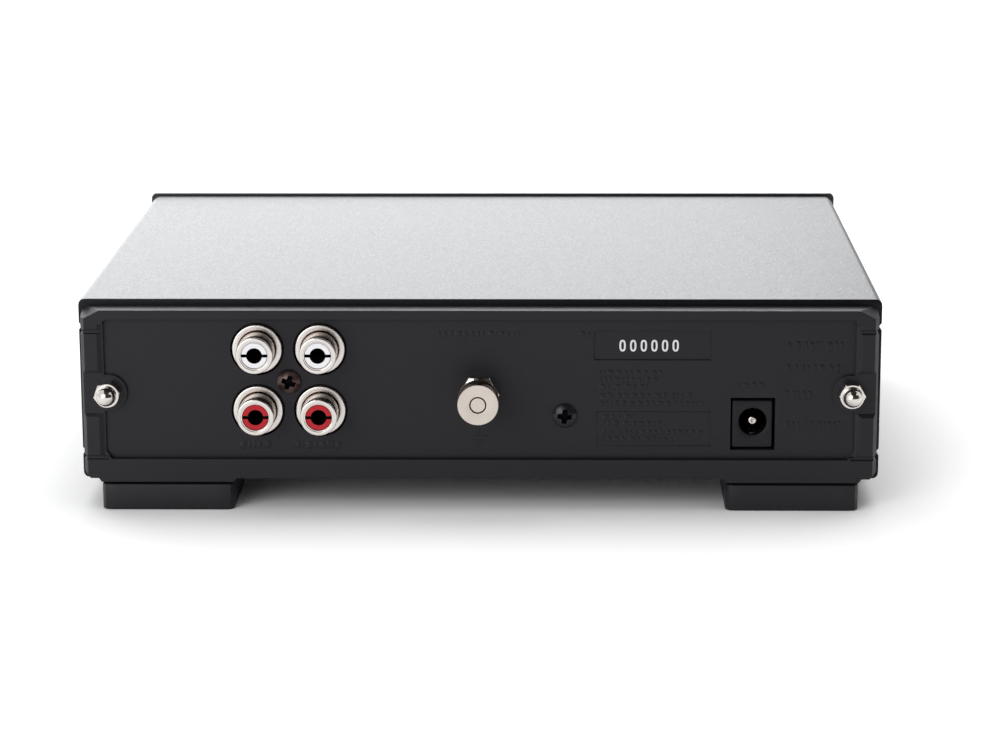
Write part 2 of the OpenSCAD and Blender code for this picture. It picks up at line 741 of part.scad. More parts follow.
module socket_contacts() {
    front = insulator_front - mouth - SEAT;
    color([0.75, 0.6, 0.3]) for (x = column_x, z = row_z) difference() {
        bar_y(x, z, pin_bore + 2 * contact_wall, contact_back, front);
        bar_y(x, z, pin_bore, contact_back + contact_end, front + 1);
    }
}

module socket_screw() {
    color([0.3, 0.2, 0.18]) panel_screw(rca_x, block_screw_z, y_field, panel_wall + screw_thread_l - 1, 20);
}

module bracket_screw() {
    color([0.12, 0.12, 0.13])
        panel_screw(bracket_x, bracket_z, y_field, panel_wall + bracket_t + 2 * screw_end, 5);
}

module board_bracket() {
    color([0.6, 0.6, 0.58]) difference() {
        union() {
            box([bracket_x - bracket_w / 2, y_wall - bracket_t, board_top],
                [bracket_x + bracket_w / 2, y_wall, bracket_z + bracket_over]);
            box([bracket_x - bracket_w / 2, y_wall - bracket_foot, board_top],
                [bracket_x + bracket_w / 2, y_wall, board_top + bracket_t]);
        }
        bar_y(bracket_x, bracket_z, screw_dia, y_wall - bracket_t - 1, y_wall + 1);
    }
}

// ---- ground post ---------------------------------------------------------------------------------

strap_t = 0.6;
strap_w = 6;
strap_foot = 9;
strap_ring = 1.5;          // how much wider the strap's ring is than the inner nut
stud_tail = 1;             // how far the stud passes the inner nut
washer_step = 1;           // how far the washer lies inside the thumb nut's edge
washer_play = 0.03;

module ground_stud() {
    color([0.76, 0.73, 0.69])
        bar_y(0, post_z, stud_dia, y_wall - strap_t - inner_nut_t - stud_tail, y_field + post_reach);
}

module ground_nut() {
    color([0.8, 0.77, 0.72]) difference() {
        hex_y(0, post_z, post_nut_af, y_field, y_field + post_nut_t, 30);
        bar_y(0, post_z, stud_dia + 2 * FIT, y_field - 1, y_field + post_nut_t + 1);
    }
}

module ground_inner_nut() {
    back = y_wall - strap_t;
    color([0.72, 0.7, 0.66]) difference() {
        hex_y(0, post_z, inner_nut_af, back - inner_nut_t, back, 30);
        bar_y(0, post_z, stud_dia + 2 * FIT, back - inner_nut_t - 1, back + 1);
    }
}

module ground_strap() {
    color([0.7, 0.68, 0.62]) difference() {
        union() {
            bar_y(0, post_z, inner_nut_af + strap_ring, y_wall - strap_t, y_wall);
            box([-strap_w / 2, y_wall - strap_t, board_top], [strap_w / 2, y_wall, post_z]);
            box([-strap_w / 2, y_wall - strap_foot, board_top], [strap_w / 2, y_wall, board_top + strap_t]);
        }
        bar_y(0, post_z, stud_dia + 2 * FIT, y_wall - strap_t - 1, y_wall + 1);
    }
}

module thumb_washer() {
    back = y_field + post_nut_t + post_gap;
    color([0.72, 0.7, 0.66]) difference() {
        bar_y(0, post_z, thumb_dia - 2 * washer_step, back, back + thumb_washer_t - washer_play);
        bar_y(0, post_z, stud_dia + 2 * FIT, back - 1, back + thumb_washer_t + 1);
    }
}

// Knurled nut: the knurl is a ring of shallow flutes
module thumb_nut() {
    back = y_field + thumb_back;
    flutes = 36;
    flute_dia = 0.5;
    rim_bevel = 0.35;
    color([0.78, 0.75, 0.7]) difference() {
        translate([0, back, post_z]) rotate([-90, 0, 0]) rotate_extrude() polygon([
            [stud_dia / 2 + FIT, 0], [thumb_dia / 2 - rim_bevel, 0], [thumb_dia / 2, rim_bevel],
            [thumb_dia / 2, thumb_t - rim_bevel], [thumb_dia / 2 - rim_bevel, thumb_t],
            [stud_dia / 2 + FIT, thumb_t]]);
        for (i = [0:flutes - 1]) translate([0, 0, post_z]) rotate([0, i * 360 / flutes, 0])
            bar_y(thumb_dia / 2 + flute_dia * 0.25, 0, flute_dia, back - 1, back + thumb_t + 1);
    }
}

// ---- power socket --------------------------------------------------------------------------------

spring_w = 2.6;
spring_t = 0.3;
spring_inset = 1;          // how far the spring stays inside the socket's ends
pin_root = 2;              // thickness of the socket's end wall that holds the pin

module power_socket() {
    floor_z = dc_z - dc_hole / 2;
    color([0.08, 0.08, 0.08]) difference() {
        box([dc_x - dc_w / 2, dc_face - dc_l, board_top], [dc_x + dc_w / 2, dc_face, board_top + dc_h]);
        bar_y(dc_x, dc_z, dc_hole, dc_face - dc_depth, dc_face + 1);
        bar_y(dc_x, dc_z, dc_pin + 2 * FIT, dc_face - dc_l + pin_root, dc_face - dc_depth + 1);
        box([dc_x - spring_w / 2 - FIT, dc_face - dc_l + spring_inset, floor_z - spring_t - FIT],
            [dc_x + spring_w / 2 + FIT, dc_face - spring_inset, floor_z + 2 * spring_t]);
    }
}

module power_socket_pin() {
    tip = 0.3;
    length = dc_l - pin_root - spring_inset;
    y0 = dc_face - dc_l + pin_root + FIT;
    color([0.85, 0.8, 0.7]) translate([dc_x, y0, dc_z]) rotate([-90, 0, 0]) rotate_extrude() polygon([
        [0, 0], [dc_pin / 2, 0], [dc_pin / 2, length - tip], [dc_pin / 2 - tip, length], [0, length]]);
}

module power_socket_spring() {
    floor_z = dc_z - dc_hole / 2;
    back = dc_face - dc_l + spring_inset + FIT;
    color([0.8, 0.65, 0.3]) box([dc_x - spring_w / 2, back, floor_z - spring_t],
        [dc_x + spring_w / 2, dc_face - spring_inset - FIT, floor_z]);
}

// ---- power button --------------------------------------------------------------------------------

module power_button() {
    bevel = 0.5;
    r = button_dia / 2;
    collar = y_rim_front + button_seat;
    back = collar + button_flange + button_cap_l;
    color([0.14, 0.14, 0.15]) difference() {
        translate([button_x, 0, button_z]) rotate([-90, 0, 0]) rotate_extrude() polygon([
            [0, y_button], [r - bevel, y_button], [r, y_button + bevel], [r, collar],
            [r + button_flange, collar], [r + button_flange, collar + button_flange],
            [r, collar + button_flange], [r, back], [0, back]]);
        bar_y(button_x, button_z, stem_dia + 2 * FIT, y_rim_front, back + 1);
    }
}

module switch_plunger() {
    color([0.85, 0.85, 0.8])
        bar_y(button_x, button_z, stem_dia, y_rim_front + SEAT, switch_front + stem_grip);
}

module switch_body() {
    color([0.1, 0.1, 0.1]) difference() {
        box([button_x - switch_w / 2, switch_front, board_top],
            [button_x + switch_w / 2, switch_front + switch_l, board_top + switch_h]);
        bar_y(button_x, button_z, stem_dia + 2 * RUN, switch_front - 1,
            switch_front + stem_grip + button_travel + 1);
    }
}

module light_pipe() {
    color([0.8, 0.85, 0.9, 0.6]) union() {
        bar_y(lamp_x, button_z, lamp_dia, y_fascia - pipe_proud, y_rim_front + EPS);
        bar_y(lamp_x, button_z, lamp_dia + 2 * pipe_flange, y_rim_front, y_rim_front + pipe_flange_t);
    }
}

module lamp() {
    front = y_rim_front + pipe_flange_t + SEAT;
    back = front + lamp_body_l + lamp_flange_t;
    bend = back + 4 * lead_t;
    half = lead_t / 2;
    color([0.9, 0.9, 0.85]) union() {
        bar_y(lamp_x, button_z, lamp_body_dia, front, back);
        bar_y(lamp_x, button_z, lamp_body_dia + 2 * lamp_flange, back - lamp_flange_t, back);
        for (x = [lamp_x - lead_pitch / 2, lamp_x + lead_pitch / 2]) {
            box([x - half, back - half, button_z - half], [x + half, bend, button_z + half]);
            box([x - half, bend - lead_t, board_top], [x + half, bend, button_z + half]);
        }
    }
}

// ---- components on the board ---------------------------------------------------------------------

// A round capacitor that stands on the board, with the bead above its base
module can(x, d, h) {
    translate([x, can_y, board_top]) rotate_extrude() polygon([[0, 0], [d / 2, 0],
        [d / 2, can_bead_z - can_bead], [d / 2 - can_bead, can_bead_z], [d / 2, can_bead_z + can_bead],
        [d / 2, h - can_bead], [d / 2 - can_bead, h], [0, h]]);
}

module reservoir_capacitors() {
    color([0.1, 0.12, 0.2]) for (i = [0:reservoir_count - 1])
        can(reservoir_x + i * reservoir_pitch, reservoir_dia, reservoir_h);
}

module coupling_capacitors() {
    color([0.12, 0.2, 0.4]) for (i = [0:coupling_count - 1])
        can(coupling_x + i * coupling_pitch, coupling_dia, coupling_h);
}

module film_capacitors() {
    color([0.6, 0.12, 0.1]) for (i = [0:film_count - 1])
        translate([film_x + i * (film_w + can_gap), film_y, board_top]) cube([film_w, film_l, film_h]);
}

module amplifier_chips() {
    lead_x = chip_w / 2 + chip_lead_w / 2 - 0.1;
    color([0.06, 0.06, 0.07]) for (x = chip_x) {
        box([x - chip_w / 2, chip_y - chip_l / 2, board_top + chip_rise],
            [x + chip_w / 2, chip_y + chip_l / 2, board_top + chip_rise + chip_t]);
        for (side = [-1, 1], i = [0:chip_leads - 1])
            let (lead = x + side * lead_x, y = chip_y + (i - (chip_leads - 1) / 2) * lead_pitch)
            box([lead - chip_lead_w / 2, y - lead_t / 2, board_top],
                [lead + chip_lead_w / 2, y + lead_t / 2, board_top + chip_rise + chip_t / 2]);
    }
}

// A resistor lying on the board, with a bent lead at each end
module resistor(x, y) {
    reach = resistor_l / 2 + resistor_reach;
    half = resistor_lead / 2;
    z = board_top + resistor_dia / 2;
    translate([x - resistor_l / 2, y, z]) rotate([0, 90, 0]) cylinder(d = resistor_dia, h = resistor_l);
    box([x - reach, y - half, z - half], [x + reach, y + half, z + half]);
    for (end = [x - reach, x + reach - resistor_lead])
        box([end, y - half, board_top], [end + resistor_lead, y + half, z + half]);
}

module resistors() {
    color([0.25, 0.5, 0.7]) for (x = resistor_x, i = [0:resistor_rows - 1])
        resistor(x, resistor_y + i * resistor_pitch);
}

module regulators() {
    middle = regulator_y + regulator_t / 2;
    base = board_top + regulator_rise;
    color([0.07, 0.07, 0.08]) for (x = regulator_x) {
        box([x - regulator_w / 2, regulator_y, base],
            [x + regulator_w / 2, regulator_y + regulator_t, base + regulator_h]);
        for (i = [-1:1]) let (lead = x + i * lead_pitch)
            box([lead - regulator_lead_w / 2, middle - lead_t / 2, board_top],
                [lead + regulator_lead_w / 2, middle + lead_t / 2, base + EPS]);
    }
}

module heat_sinks() {
    back = regulator_y - sink_t;
    fins = floor((sink_w - fin_t) / fin_pitch / 2);
    color([0.55, 0.55, 0.57]) for (x = regulator_x) {
        box([x - sink_w / 2, back, board_top], [x + sink_w / 2, regulator_y, board_top + sink_h]);
        for (i = [-fins:fins]) box([x + i * fin_pitch - fin_t / 2, back - fin_d, board_top],
            [x + i * fin_pitch + fin_t / 2, back + EPS, board_top + sink_h]);
    }
}

module mute_relay() {
    color([0.8, 0.8, 0.78]) box([rca_x - relay_w / 2, relay_y, board_top],
        [rca_x + relay_w / 2, relay_y + relay_l, board_top + relay_h]);
}

case_sleeve();
front_fascia();
rear_panel();
tie_rods();
domed_nuts();
feet();
foot_screws();
circuit_board();
socket_block();
socket_barrels();
upper_insulators();
lower_insulators();
socket_contacts();
socket_screw();
bracket_screw();
board_bracket();
ground_stud();
ground_nut();
ground_inner_nut();
ground_strap();
thumb_washer();
thumb_nut();
power_socket();
power_socket_pin();
power_socket_spring();
power_button();
switch_plunger();
switch_body();
light_pipe();
lamp();
reservoir_capacitors();
coupling_capacitors();
film_capacitors();
amplifier_chips();
resistors();
regulators();
heat_sinks();
mute_relay();
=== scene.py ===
"""Visible surfaces and finishes of a slim phono preamp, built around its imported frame.

Sizes are written in millimetres and become metres where a mesh is made. +Z is up, the rear panel
faces +Y, the fascia faces -Y, and the feet stand on Z = 0.
"""
from __future__ import annotations

import logging
import math
from dataclasses import dataclass, field
from enum import Enum
from typing import Sequence, Union

import bmesh
import bpy
import numpy as np
from mathutils import Matrix, Vector
from mathutils.geometry import delaunay_2d_cdt


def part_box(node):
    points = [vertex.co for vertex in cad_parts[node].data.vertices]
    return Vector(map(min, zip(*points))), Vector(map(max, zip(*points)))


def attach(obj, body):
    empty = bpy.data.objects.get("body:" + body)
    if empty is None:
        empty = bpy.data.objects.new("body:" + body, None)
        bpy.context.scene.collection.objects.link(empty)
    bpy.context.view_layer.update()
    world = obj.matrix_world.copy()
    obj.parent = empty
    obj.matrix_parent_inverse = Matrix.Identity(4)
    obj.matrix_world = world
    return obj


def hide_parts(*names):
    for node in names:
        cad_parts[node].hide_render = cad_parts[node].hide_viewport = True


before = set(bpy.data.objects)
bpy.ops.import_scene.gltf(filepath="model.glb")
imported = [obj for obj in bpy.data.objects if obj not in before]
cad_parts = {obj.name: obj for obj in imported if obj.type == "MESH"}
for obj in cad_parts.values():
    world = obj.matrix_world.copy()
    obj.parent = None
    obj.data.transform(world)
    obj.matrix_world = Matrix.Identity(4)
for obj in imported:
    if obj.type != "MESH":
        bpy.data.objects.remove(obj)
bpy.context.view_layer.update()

MM = 0.001
TAU = 2 * math.pi
# Distances in mm, areas in mm^2 and angles in degrees.
SKIN_JOIN = 0.0005
CAD_JOIN = 0.002
CAD_LEVEL = 0.4
CAD_CREASE = 9
LARGE_FACE = 400
EASED_ANGLE = 20
EASED_SEGMENTS = 3
FIELD_DEPTH = 1.5
FLANGE_RISE = 0.3
PANEL_SCREW_HEIGHT = 1.7
SCREW_SHANK = 2.8
CHAMFER_CRISP = 30
LOG = logging.getLogger("phono_preamp")
Array = np.ndarray
Colour = tuple[float, float, float]


class Body(Enum):
    """The bodies that pieces ride on."""

    CASE = "case"
    BUTTON = "button"
    WASHER = "thumb_carrier"
    THUMB = "thumb_screw"


class Along(Enum):
    """The axis that an outline is carried along, as the order of (across, along, up) columns."""

    Y = (0, 2, 1)
    Z = (0, 1, 2)


# ---- outlines and profiles -----------------------------------------------------------------------


def soften(corners: Sequence[tuple[float, float, float]], closed: bool = False, steps: int = 5) -> Array:
    """Polyline whose corners are bridged by parabolas.

    With c the corner and a and b the points its cut length back along each side, the bridge is
    (1-s)^2 a + 2s(1-s) c + s^2 b for s from 0 to 1. A cut of 0 keeps the corner as it is.

    Args:
        corners: (first, second, cut) of each corner.
        closed: Whether the last corner joins the first.
        steps: Points on each bridge.
    Returns:
        The points as an (n, 2) array.
    """
    given = np.asarray(corners, float)
    spot, cut = given[:, :2], given[:, 2]
    before, after = np.roll(spot, 1, 0) - spot, np.roll(spot, -1, 0) - spot
    if not closed:
        cut = cut * np.r_[0, np.ones(len(cut) - 2), 0]
    before /= np.maximum(np.linalg.norm(before, axis=1, keepdims=True), 1e-9)
    after /= np.maximum(np.linalg.norm(after, axis=1, keepdims=True), 1e-9)
    s = np.linspace(0, 1, steps)[None, :, None]
    a, c, b = (spot + before * cut[:, None])[:, None], spot[:, None], (spot + after * cut[:, None])[:, None]
    bridge = (1 - s) ** 2 * a + 2 * s * (1 - s) * c + s ** 2 * b
    points = bridge.reshape(-1, 2)
    keep = np.repeat(cut > 0, steps)
    keep[::steps] = True
    return points[keep]


def rectangle(width: float, height: float, radius: float, steps: int = 7) -> Array:
    """Closed outline of a rectangle about the origin, with rounded corners, counter-clockwise."""
    w, h = width / 2, height / 2
    return soften([(w, -h, radius), (w, h, radius), (-w, h, radius), (-w, -h, radius)], True, steps)


def bearings(count: int) -> Array:
    """Angles of count points round a circle, from -180 degrees."""
    return np.linspace(-math.pi, math.pi, count, endpoint=False)


def at(angle: Array) -> Array:
    """Points of the unit circle at the angles, as an (n, 2) array."""
    return np.array([np.cos(angle), np.sin(angle)]).T


def evenly(outline: Array, count: int) -> Array:
    """The closed outline resampled to count points, at equal angles about the origin."""
    angle = np.arctan2(outline[:, 1], outline[:, 0])
    order = np.argsort(angle)
    wanted = bearings(count)
    reach = at(wanted)
    start, end = outline[order], np.roll(outline[order], -1, 0)
    index = (np.searchsorted(angle[order], wanted, side="right") - 1) % len(order)
    p, d = start[index], end[index] - start[index]
    length = (p[:, 0] * d[:, 1] - p[:, 1] * d[:, 0]) / (reach[:, 0] * d[:, 1] - reach[:, 1] * d[:, 0])
    return reach * length[:, None]


def ring(radius: float, count: int) -> Array:
    """Circle about the origin, as a closed outline that starts at -180 degrees."""
    return radius * at(bearings(count))


def hexagonal(angle: Array, across_flats: float, turn: float, crisp: float = 70) -> Array:
    """Radius of a hexagon at each angle, turned by degrees.

    It is half the width across flats over the p-norm, with p = crisp, of the cosines from each
    flat's middle, which rounds the corners a little.
    """
    flats = np.radians(turn) + np.arange(6) * TAU / 6
    near = np.maximum(np.cos(angle[..., None] - flats), 1e-6)
    return across_flats / 2 / (near ** crisp).sum(-1) ** (1 / crisp)


def blunt_least(first: Array, second: Union[Array, float]) -> Array:
    """The smaller of two radii with a blunt corner: -log(exp(-f a) + exp(-f b)) / f, f = CHAMFER_CRISP."""
    return -np.logaddexp(-first * CHAMFER_CRISP, -second * CHAMFER_CRISP) / CHAMFER_CRISP


def inset(outline: Array, depth: float) -> Array:
    """The closed counter-clockwise outline moved inwards.

    Each point moves by depth over 1 + the dot product of its two side normals, along their sum.
    """
    ahead = np.roll(outline, -1, 0) - outline
    ahead /= np.linalg.norm(ahead, axis=1, keepdims=True)
    out = np.array([ahead[:, 1], -ahead[:, 0]]).T
    both = out + np.roll(out, 1, 0)
    dot = (out * np.roll(out, 1, 0)).sum(1)
    return outline - depth * both / (1 + dot)[:, None]


def edge(depth: float, height: float, rising: bool = True, steps: int = 4) -> list[tuple[float, float]]:
    """Quarter-round of (inset, level) pairs from a side up to a face at height, or back down."""
    turn = np.linspace(0, math.pi / 2, steps)
    pairs = [(depth * (1 - math.cos(t)), height - depth * (1 - math.sin(t))) for t in turn]
    return pairs if rising else pairs[::-1]


def carried(outlines: Sequence[Array], levels: Sequence[float], along: Along,
            centre: tuple[float, float]) -> Array:
    """Grid of outlines stacked along an axis.

    Point (u, v) is outline v's point u, moved by centre, at level v along the axis.

    Args:
        outlines: Closed outlines with the same number of points.
        levels: Each outline's place along the axis.
        along: The axis.
        centre: Where the outlines' origin goes.
    Returns:
        The grid as a (u, v, 3) array.
    """
    flat = np.stack(outlines, 1) + np.asarray(centre)
    rise = np.broadcast_to(np.asarray(levels, float)[None, :, None], flat.shape[:2] + (1,))
    return np.concatenate([flat, rise], 2)[..., list(along.value)]


def stacked(stack: Sequence[tuple[Array, float]], centre: tuple[float, float],
            along: Along = Along.Y) -> Array:
    """Grid of (outline, level) pairs, carried along an axis through the centre."""
    return carried([outline for outline, _ in stack], [level for _, level in stack], along, centre)


def turned(profile: Array, x: float, z: float, count: int = 96) -> Array:
    """Grid of a (radius, level) profile turned about a Y axis: x + r cos t, z + r sin t."""
    return carried([ring(r, count) for r in profile[:, 0]], profile[:, 1], Along.Y, (x, z))


def saw(value: Array) -> Array:
    """Triangle wave of period 1: 0 at whole numbers and 1 half-way between them."""
    return 1 - np.abs(2 * (value - np.floor(value)) - 1)


def ease(value: Array) -> Array:
    """Smooth step: 3t^2 - 2t^3 of the value held between 0 and 1."""
    t = np.clip(value, 0, 1)
    return t * t * (3 - 2 * t)


# ---- meshes --------------------------------------------------------------------------------------


@dataclass
class Skin:
    """One piece's surfaces, gathered as grids and flat caps before they become a mesh."""

    name: str
    points: list[Array] = field(default_factory=list)
    faces: list[Array] = field(default_factory=list)
    places: list[Array] = field(default_factory=list)
    finish_of: list[Array] = field(default_factory=list)
    count: int = 0

    def _keep(self, points: Array, faces: Array, places: Array, finish: Union[int, Array]) -> "Skin":
        """Adds points, faces, each face corner's place on the surface, and each face's finish."""
        self.points.append(points.reshape(-1, 3))
        self.faces.append(faces + self.count)
        self.places.append(places.reshape(-1, 2))
        self.finish_of.append(np.broadcast_to(np.ravel(finish), len(faces)))
        self.count += self.points[-1].shape[0]
        return self

    def grid(self, points: Array, ring_closed: bool = True, stack_closed: bool = False,
             finish: Union[int, Array] = 0) -> "Skin":
        """Adds the quads between neighbouring points of a (u, v, 3) grid.

        The surface place of a corner is (u as a share of the ring, length along the stack in mm).
        The finish is one number, a row of numbers along the stack, or a number for each quad.
        """
        n, m = points.shape[:2]
        u = np.arange(n if ring_closed else n - 1)[:, None]
        v = np.arange(m if stack_closed else m - 1)[None, :]
        u1, v1 = (u + 1) % n, (v + 1) % m
        faces = np.stack([u * m + v, u1 * m + v, u1 * m + v1, u * m + v1], -1).reshape(-1, 4)
        walk = np.linalg.norm(np.diff(np.concatenate([points[0], points[0, :1]]), axis=0), axis=1)
        length = np.concatenate([[0], np.cumsum(walk)])
        share = np.arange(n + 1) / n
        s, t = share[u] + 0 * v, length[v] + 0 * u
        s1, t1 = share[u + 1] + 0 * v, length[v + 1] + 0 * u
        places = np.stack([s, t, s1, t, s1, t1, s, t1], -1).reshape(-1, 4, 2)
        return self._keep(points, faces, places, np.broadcast_to(finish, (len(u), v.shape[1])))

    def flat(self, outline: Array, level: float) -> "Skin":
        """Adds the face inside a closed outline at a level of Y, as Delaunay triangles."""
        index = np.arange(len(outline))
        sides = np.stack([index, np.roll(index, -1)], 1)
        made = delaunay_2d_cdt([Vector(p) for p in outline.tolist()], sides.tolist(), [], 2, 1e-7)
        flat = np.array([tuple(v) for v in made[0]])
        faces = np.array(made[2])
        points = np.concatenate([flat, np.full((len(flat), 1), level)], 1)[:, list(Along.Y.value)]
        return self._keep(points, faces, flat[faces], 0)

    def mesh(self) -> bpy.types.Mesh:
        """The gathered surfaces as one mesh in metres, joined where they meet, facing outwards."""
        mesh = bpy.data.meshes.new(self.name)
        points = np.concatenate(self.points) * MM
        corners = np.concatenate([f.ravel() for f in self.faces])
        sizes = np.concatenate([np.full(len(f), f.shape[1]) for f in self.faces])
        mesh.vertices.add(len(points))
        mesh.vertices.foreach_set("co", points.ravel())
        mesh.loops.add(len(corners))
        mesh.loops.foreach_set("vertex_index", corners)
        mesh.polygons.add(len(sizes))
        mesh.polygons.foreach_set("loop_start", np.r_[0, np.cumsum(sizes)[:-1]])
        mesh.polygons.foreach_set("material_index", np.concatenate(self.finish_of))
        mesh.update(calc_edges=True)
        mesh.uv_layers.new(name="place").data.foreach_set("uv", np.concatenate(self.places).ravel())
        work = bmesh.new()
        work.from_mesh(mesh)
        bmesh.ops.remove_doubles(work, verts=work.verts, dist=SKIN_JOIN * MM)
        bmesh.ops.recalc_face_normals(work, faces=work.faces)
        work.to_mesh(mesh)
        work.free()
        return mesh

    def piece(self, finishes: Sequence["Finish"], body: Body = Body.CASE, stands_for: Sequence[str] = (),
              crease: float = 32) -> bpy.types.Object:
        """Makes the piece.

        Args:
            finishes: Its finishes, by the number that its surfaces were added with.
            body: The body that it rides on.
            stands_for: The CAD nodes that it replaces.
            crease: The angle in degrees past which an edge stays sharp.
        Returns:
            The finished object.
        """
        return settle(self.name, self.mesh(), finishes, body, stands_for, crease)


def linked(name: str, data: bpy.types.ID) -> bpy.types.Object:
    """A new object in the scene that holds the data."""
    made = bpy.data.objects.new(name, data)
    bpy.context.scene.collection.objects.link(made)
    return made


def settle(name: str, mesh: bpy.types.Mesh, finishes: Sequence["Finish"], body: Body,
           stands_for: Sequence[str], crease: float) -> bpy.types.Object:
    """Puts a mesh in the scene as a finished piece that rides on a body."""
    piece = linked(name, mesh)
    for finish in finishes:
        mesh.materials.append(finish.material())
    mesh.shade_smooth()
    mesh.set_sharp_from_angle(angle=math.radians(crease))
    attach(piece, body.value)
    if stands_for:
        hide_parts(*stands_for)
    LOG.info("%s: %d faces on %s", name, len(mesh.polygons), body.value)
    return piece


def eased_copy(name: str, node: str, finish: "Finish", width: float, strip: float = 0.0) -> bpy.types.Object:
    """A merged copy of a CAD node with its edges rounded, in place of the node.

    Args:
        name: The piece's name.
        node: The CAD node.
        finish: The piece's finish.
        width: Width of the rounding in mm.
        strip: Width in mm of a strip of quads laid along the edges of large flat faces, which keeps
            the rounding clear of the cuts across them.
    Returns:
        The finished object.
    """
    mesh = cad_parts[node].data.copy()
    mesh.materials.clear()
    work = bmesh.new()
    work.from_mesh(mesh)
    bmesh.ops.remove_doubles(work, verts=work.verts, dist=CAD_JOIN * MM)
    level = math.radians(CAD_LEVEL)
    bmesh.ops.dissolve_limit(work, angle_limit=level, verts=work.verts, edges=work.edges)
    bmesh.ops.recalc_face_normals(work, faces=work.faces)
    if strip:
        wide = [face for face in work.faces if face.calc_area() > LARGE_FACE * MM ** 2]
        bmesh.ops.inset_region(work, faces=wide, thickness=strip * MM, use_even_offset=True)
    work.to_mesh(mesh)
    work.free()
    piece = settle(name, mesh, [finish], Body.CASE, [node], CAD_CREASE)
    bevel = piece.modifiers.new("eased_edges", "BEVEL")
    bevel.width = width * MM
    bevel.segments = EASED_SEGMENTS
    bevel.limit_method = "ANGLE"
    bevel.angle_limit = math.radians(EASED_ANGLE)
    bevel.use_clamp_overlap = False
    bevel.harden_normals = True
    return piece


def corners_of(node: str) -> tuple[Array, Array]:
    """Lowest and highest corner of a CAD node at rest, in mm."""
    low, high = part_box(node)
    return np.array(low) / MM, np.array(high) / MM


def axis_of(node: str) -> tuple[float, float, float]:
    """Middle X, middle Z and half width of a CAD node that is turned about Y, in mm."""
    low, high = corners_of(node)
    return (low[0] + high[0]) / 2, (low[2] + high[2]) / 2, (high[0] - low[0]) / 2


def field_level() -> float:
    """Y of the rear panel's sunken field, in mm."""
    return corners_of("rear_panel")[1][1] - FIELD_DEPTH


# ---- shader maths --------------------------------------------------------------------------------

Value = Union["Num", bpy.types.NodeSocket, float, Sequence[float]]


class Num:
    """A number that varies over a surface. An expression on it adds the Math nodes it needs."""

    def __init__(self, net: "Net", socket: bpy.types.NodeSocket) -> None:
        """Wraps a node's output socket."""
        self.net = net
        self.socket = socket

    def _with(self, operation: str, *parts: Value) -> "Num":
        """The result of a Math node on the parts."""
        return self.net.number("ShaderNodeMath", {"operation": operation}, dict(enumerate(parts)))

    def __add__(self, other: Value) -> "Num":
        """self + other."""
        return self._with("ADD", self, other)

    def __sub__(self, other: Value) -> "Num":
        """self - other."""
        return self._with("SUBTRACT", self, other)

    def __rsub__(self, other: Value) -> "Num":
        """other - self."""
        return self._with("SUBTRACT", other, self)

    def __mul__(self, other: Value) -> "Num":
        """self * other."""
        return self._with("MULTIPLY", self, other)

    def above(self, level: float, blur: float) -> "Num":
        """1 where the number is above the level and 0 below it, with a ramp blur wide between."""
        return self.net.number("ShaderNodeMapRange", {"interpolation_type": "SMOOTHSTEP"},
                               {0: self, 1: level - blur / 2, 2: level + blur / 2, 3: 0.0, 4: 1.0})

    def most(self, other: Value) -> "Num":
        """The larger of the two."""
        return self._with("MAXIMUM", self, other)

    __radd__ = __add__
    __rmul__ = __mul__


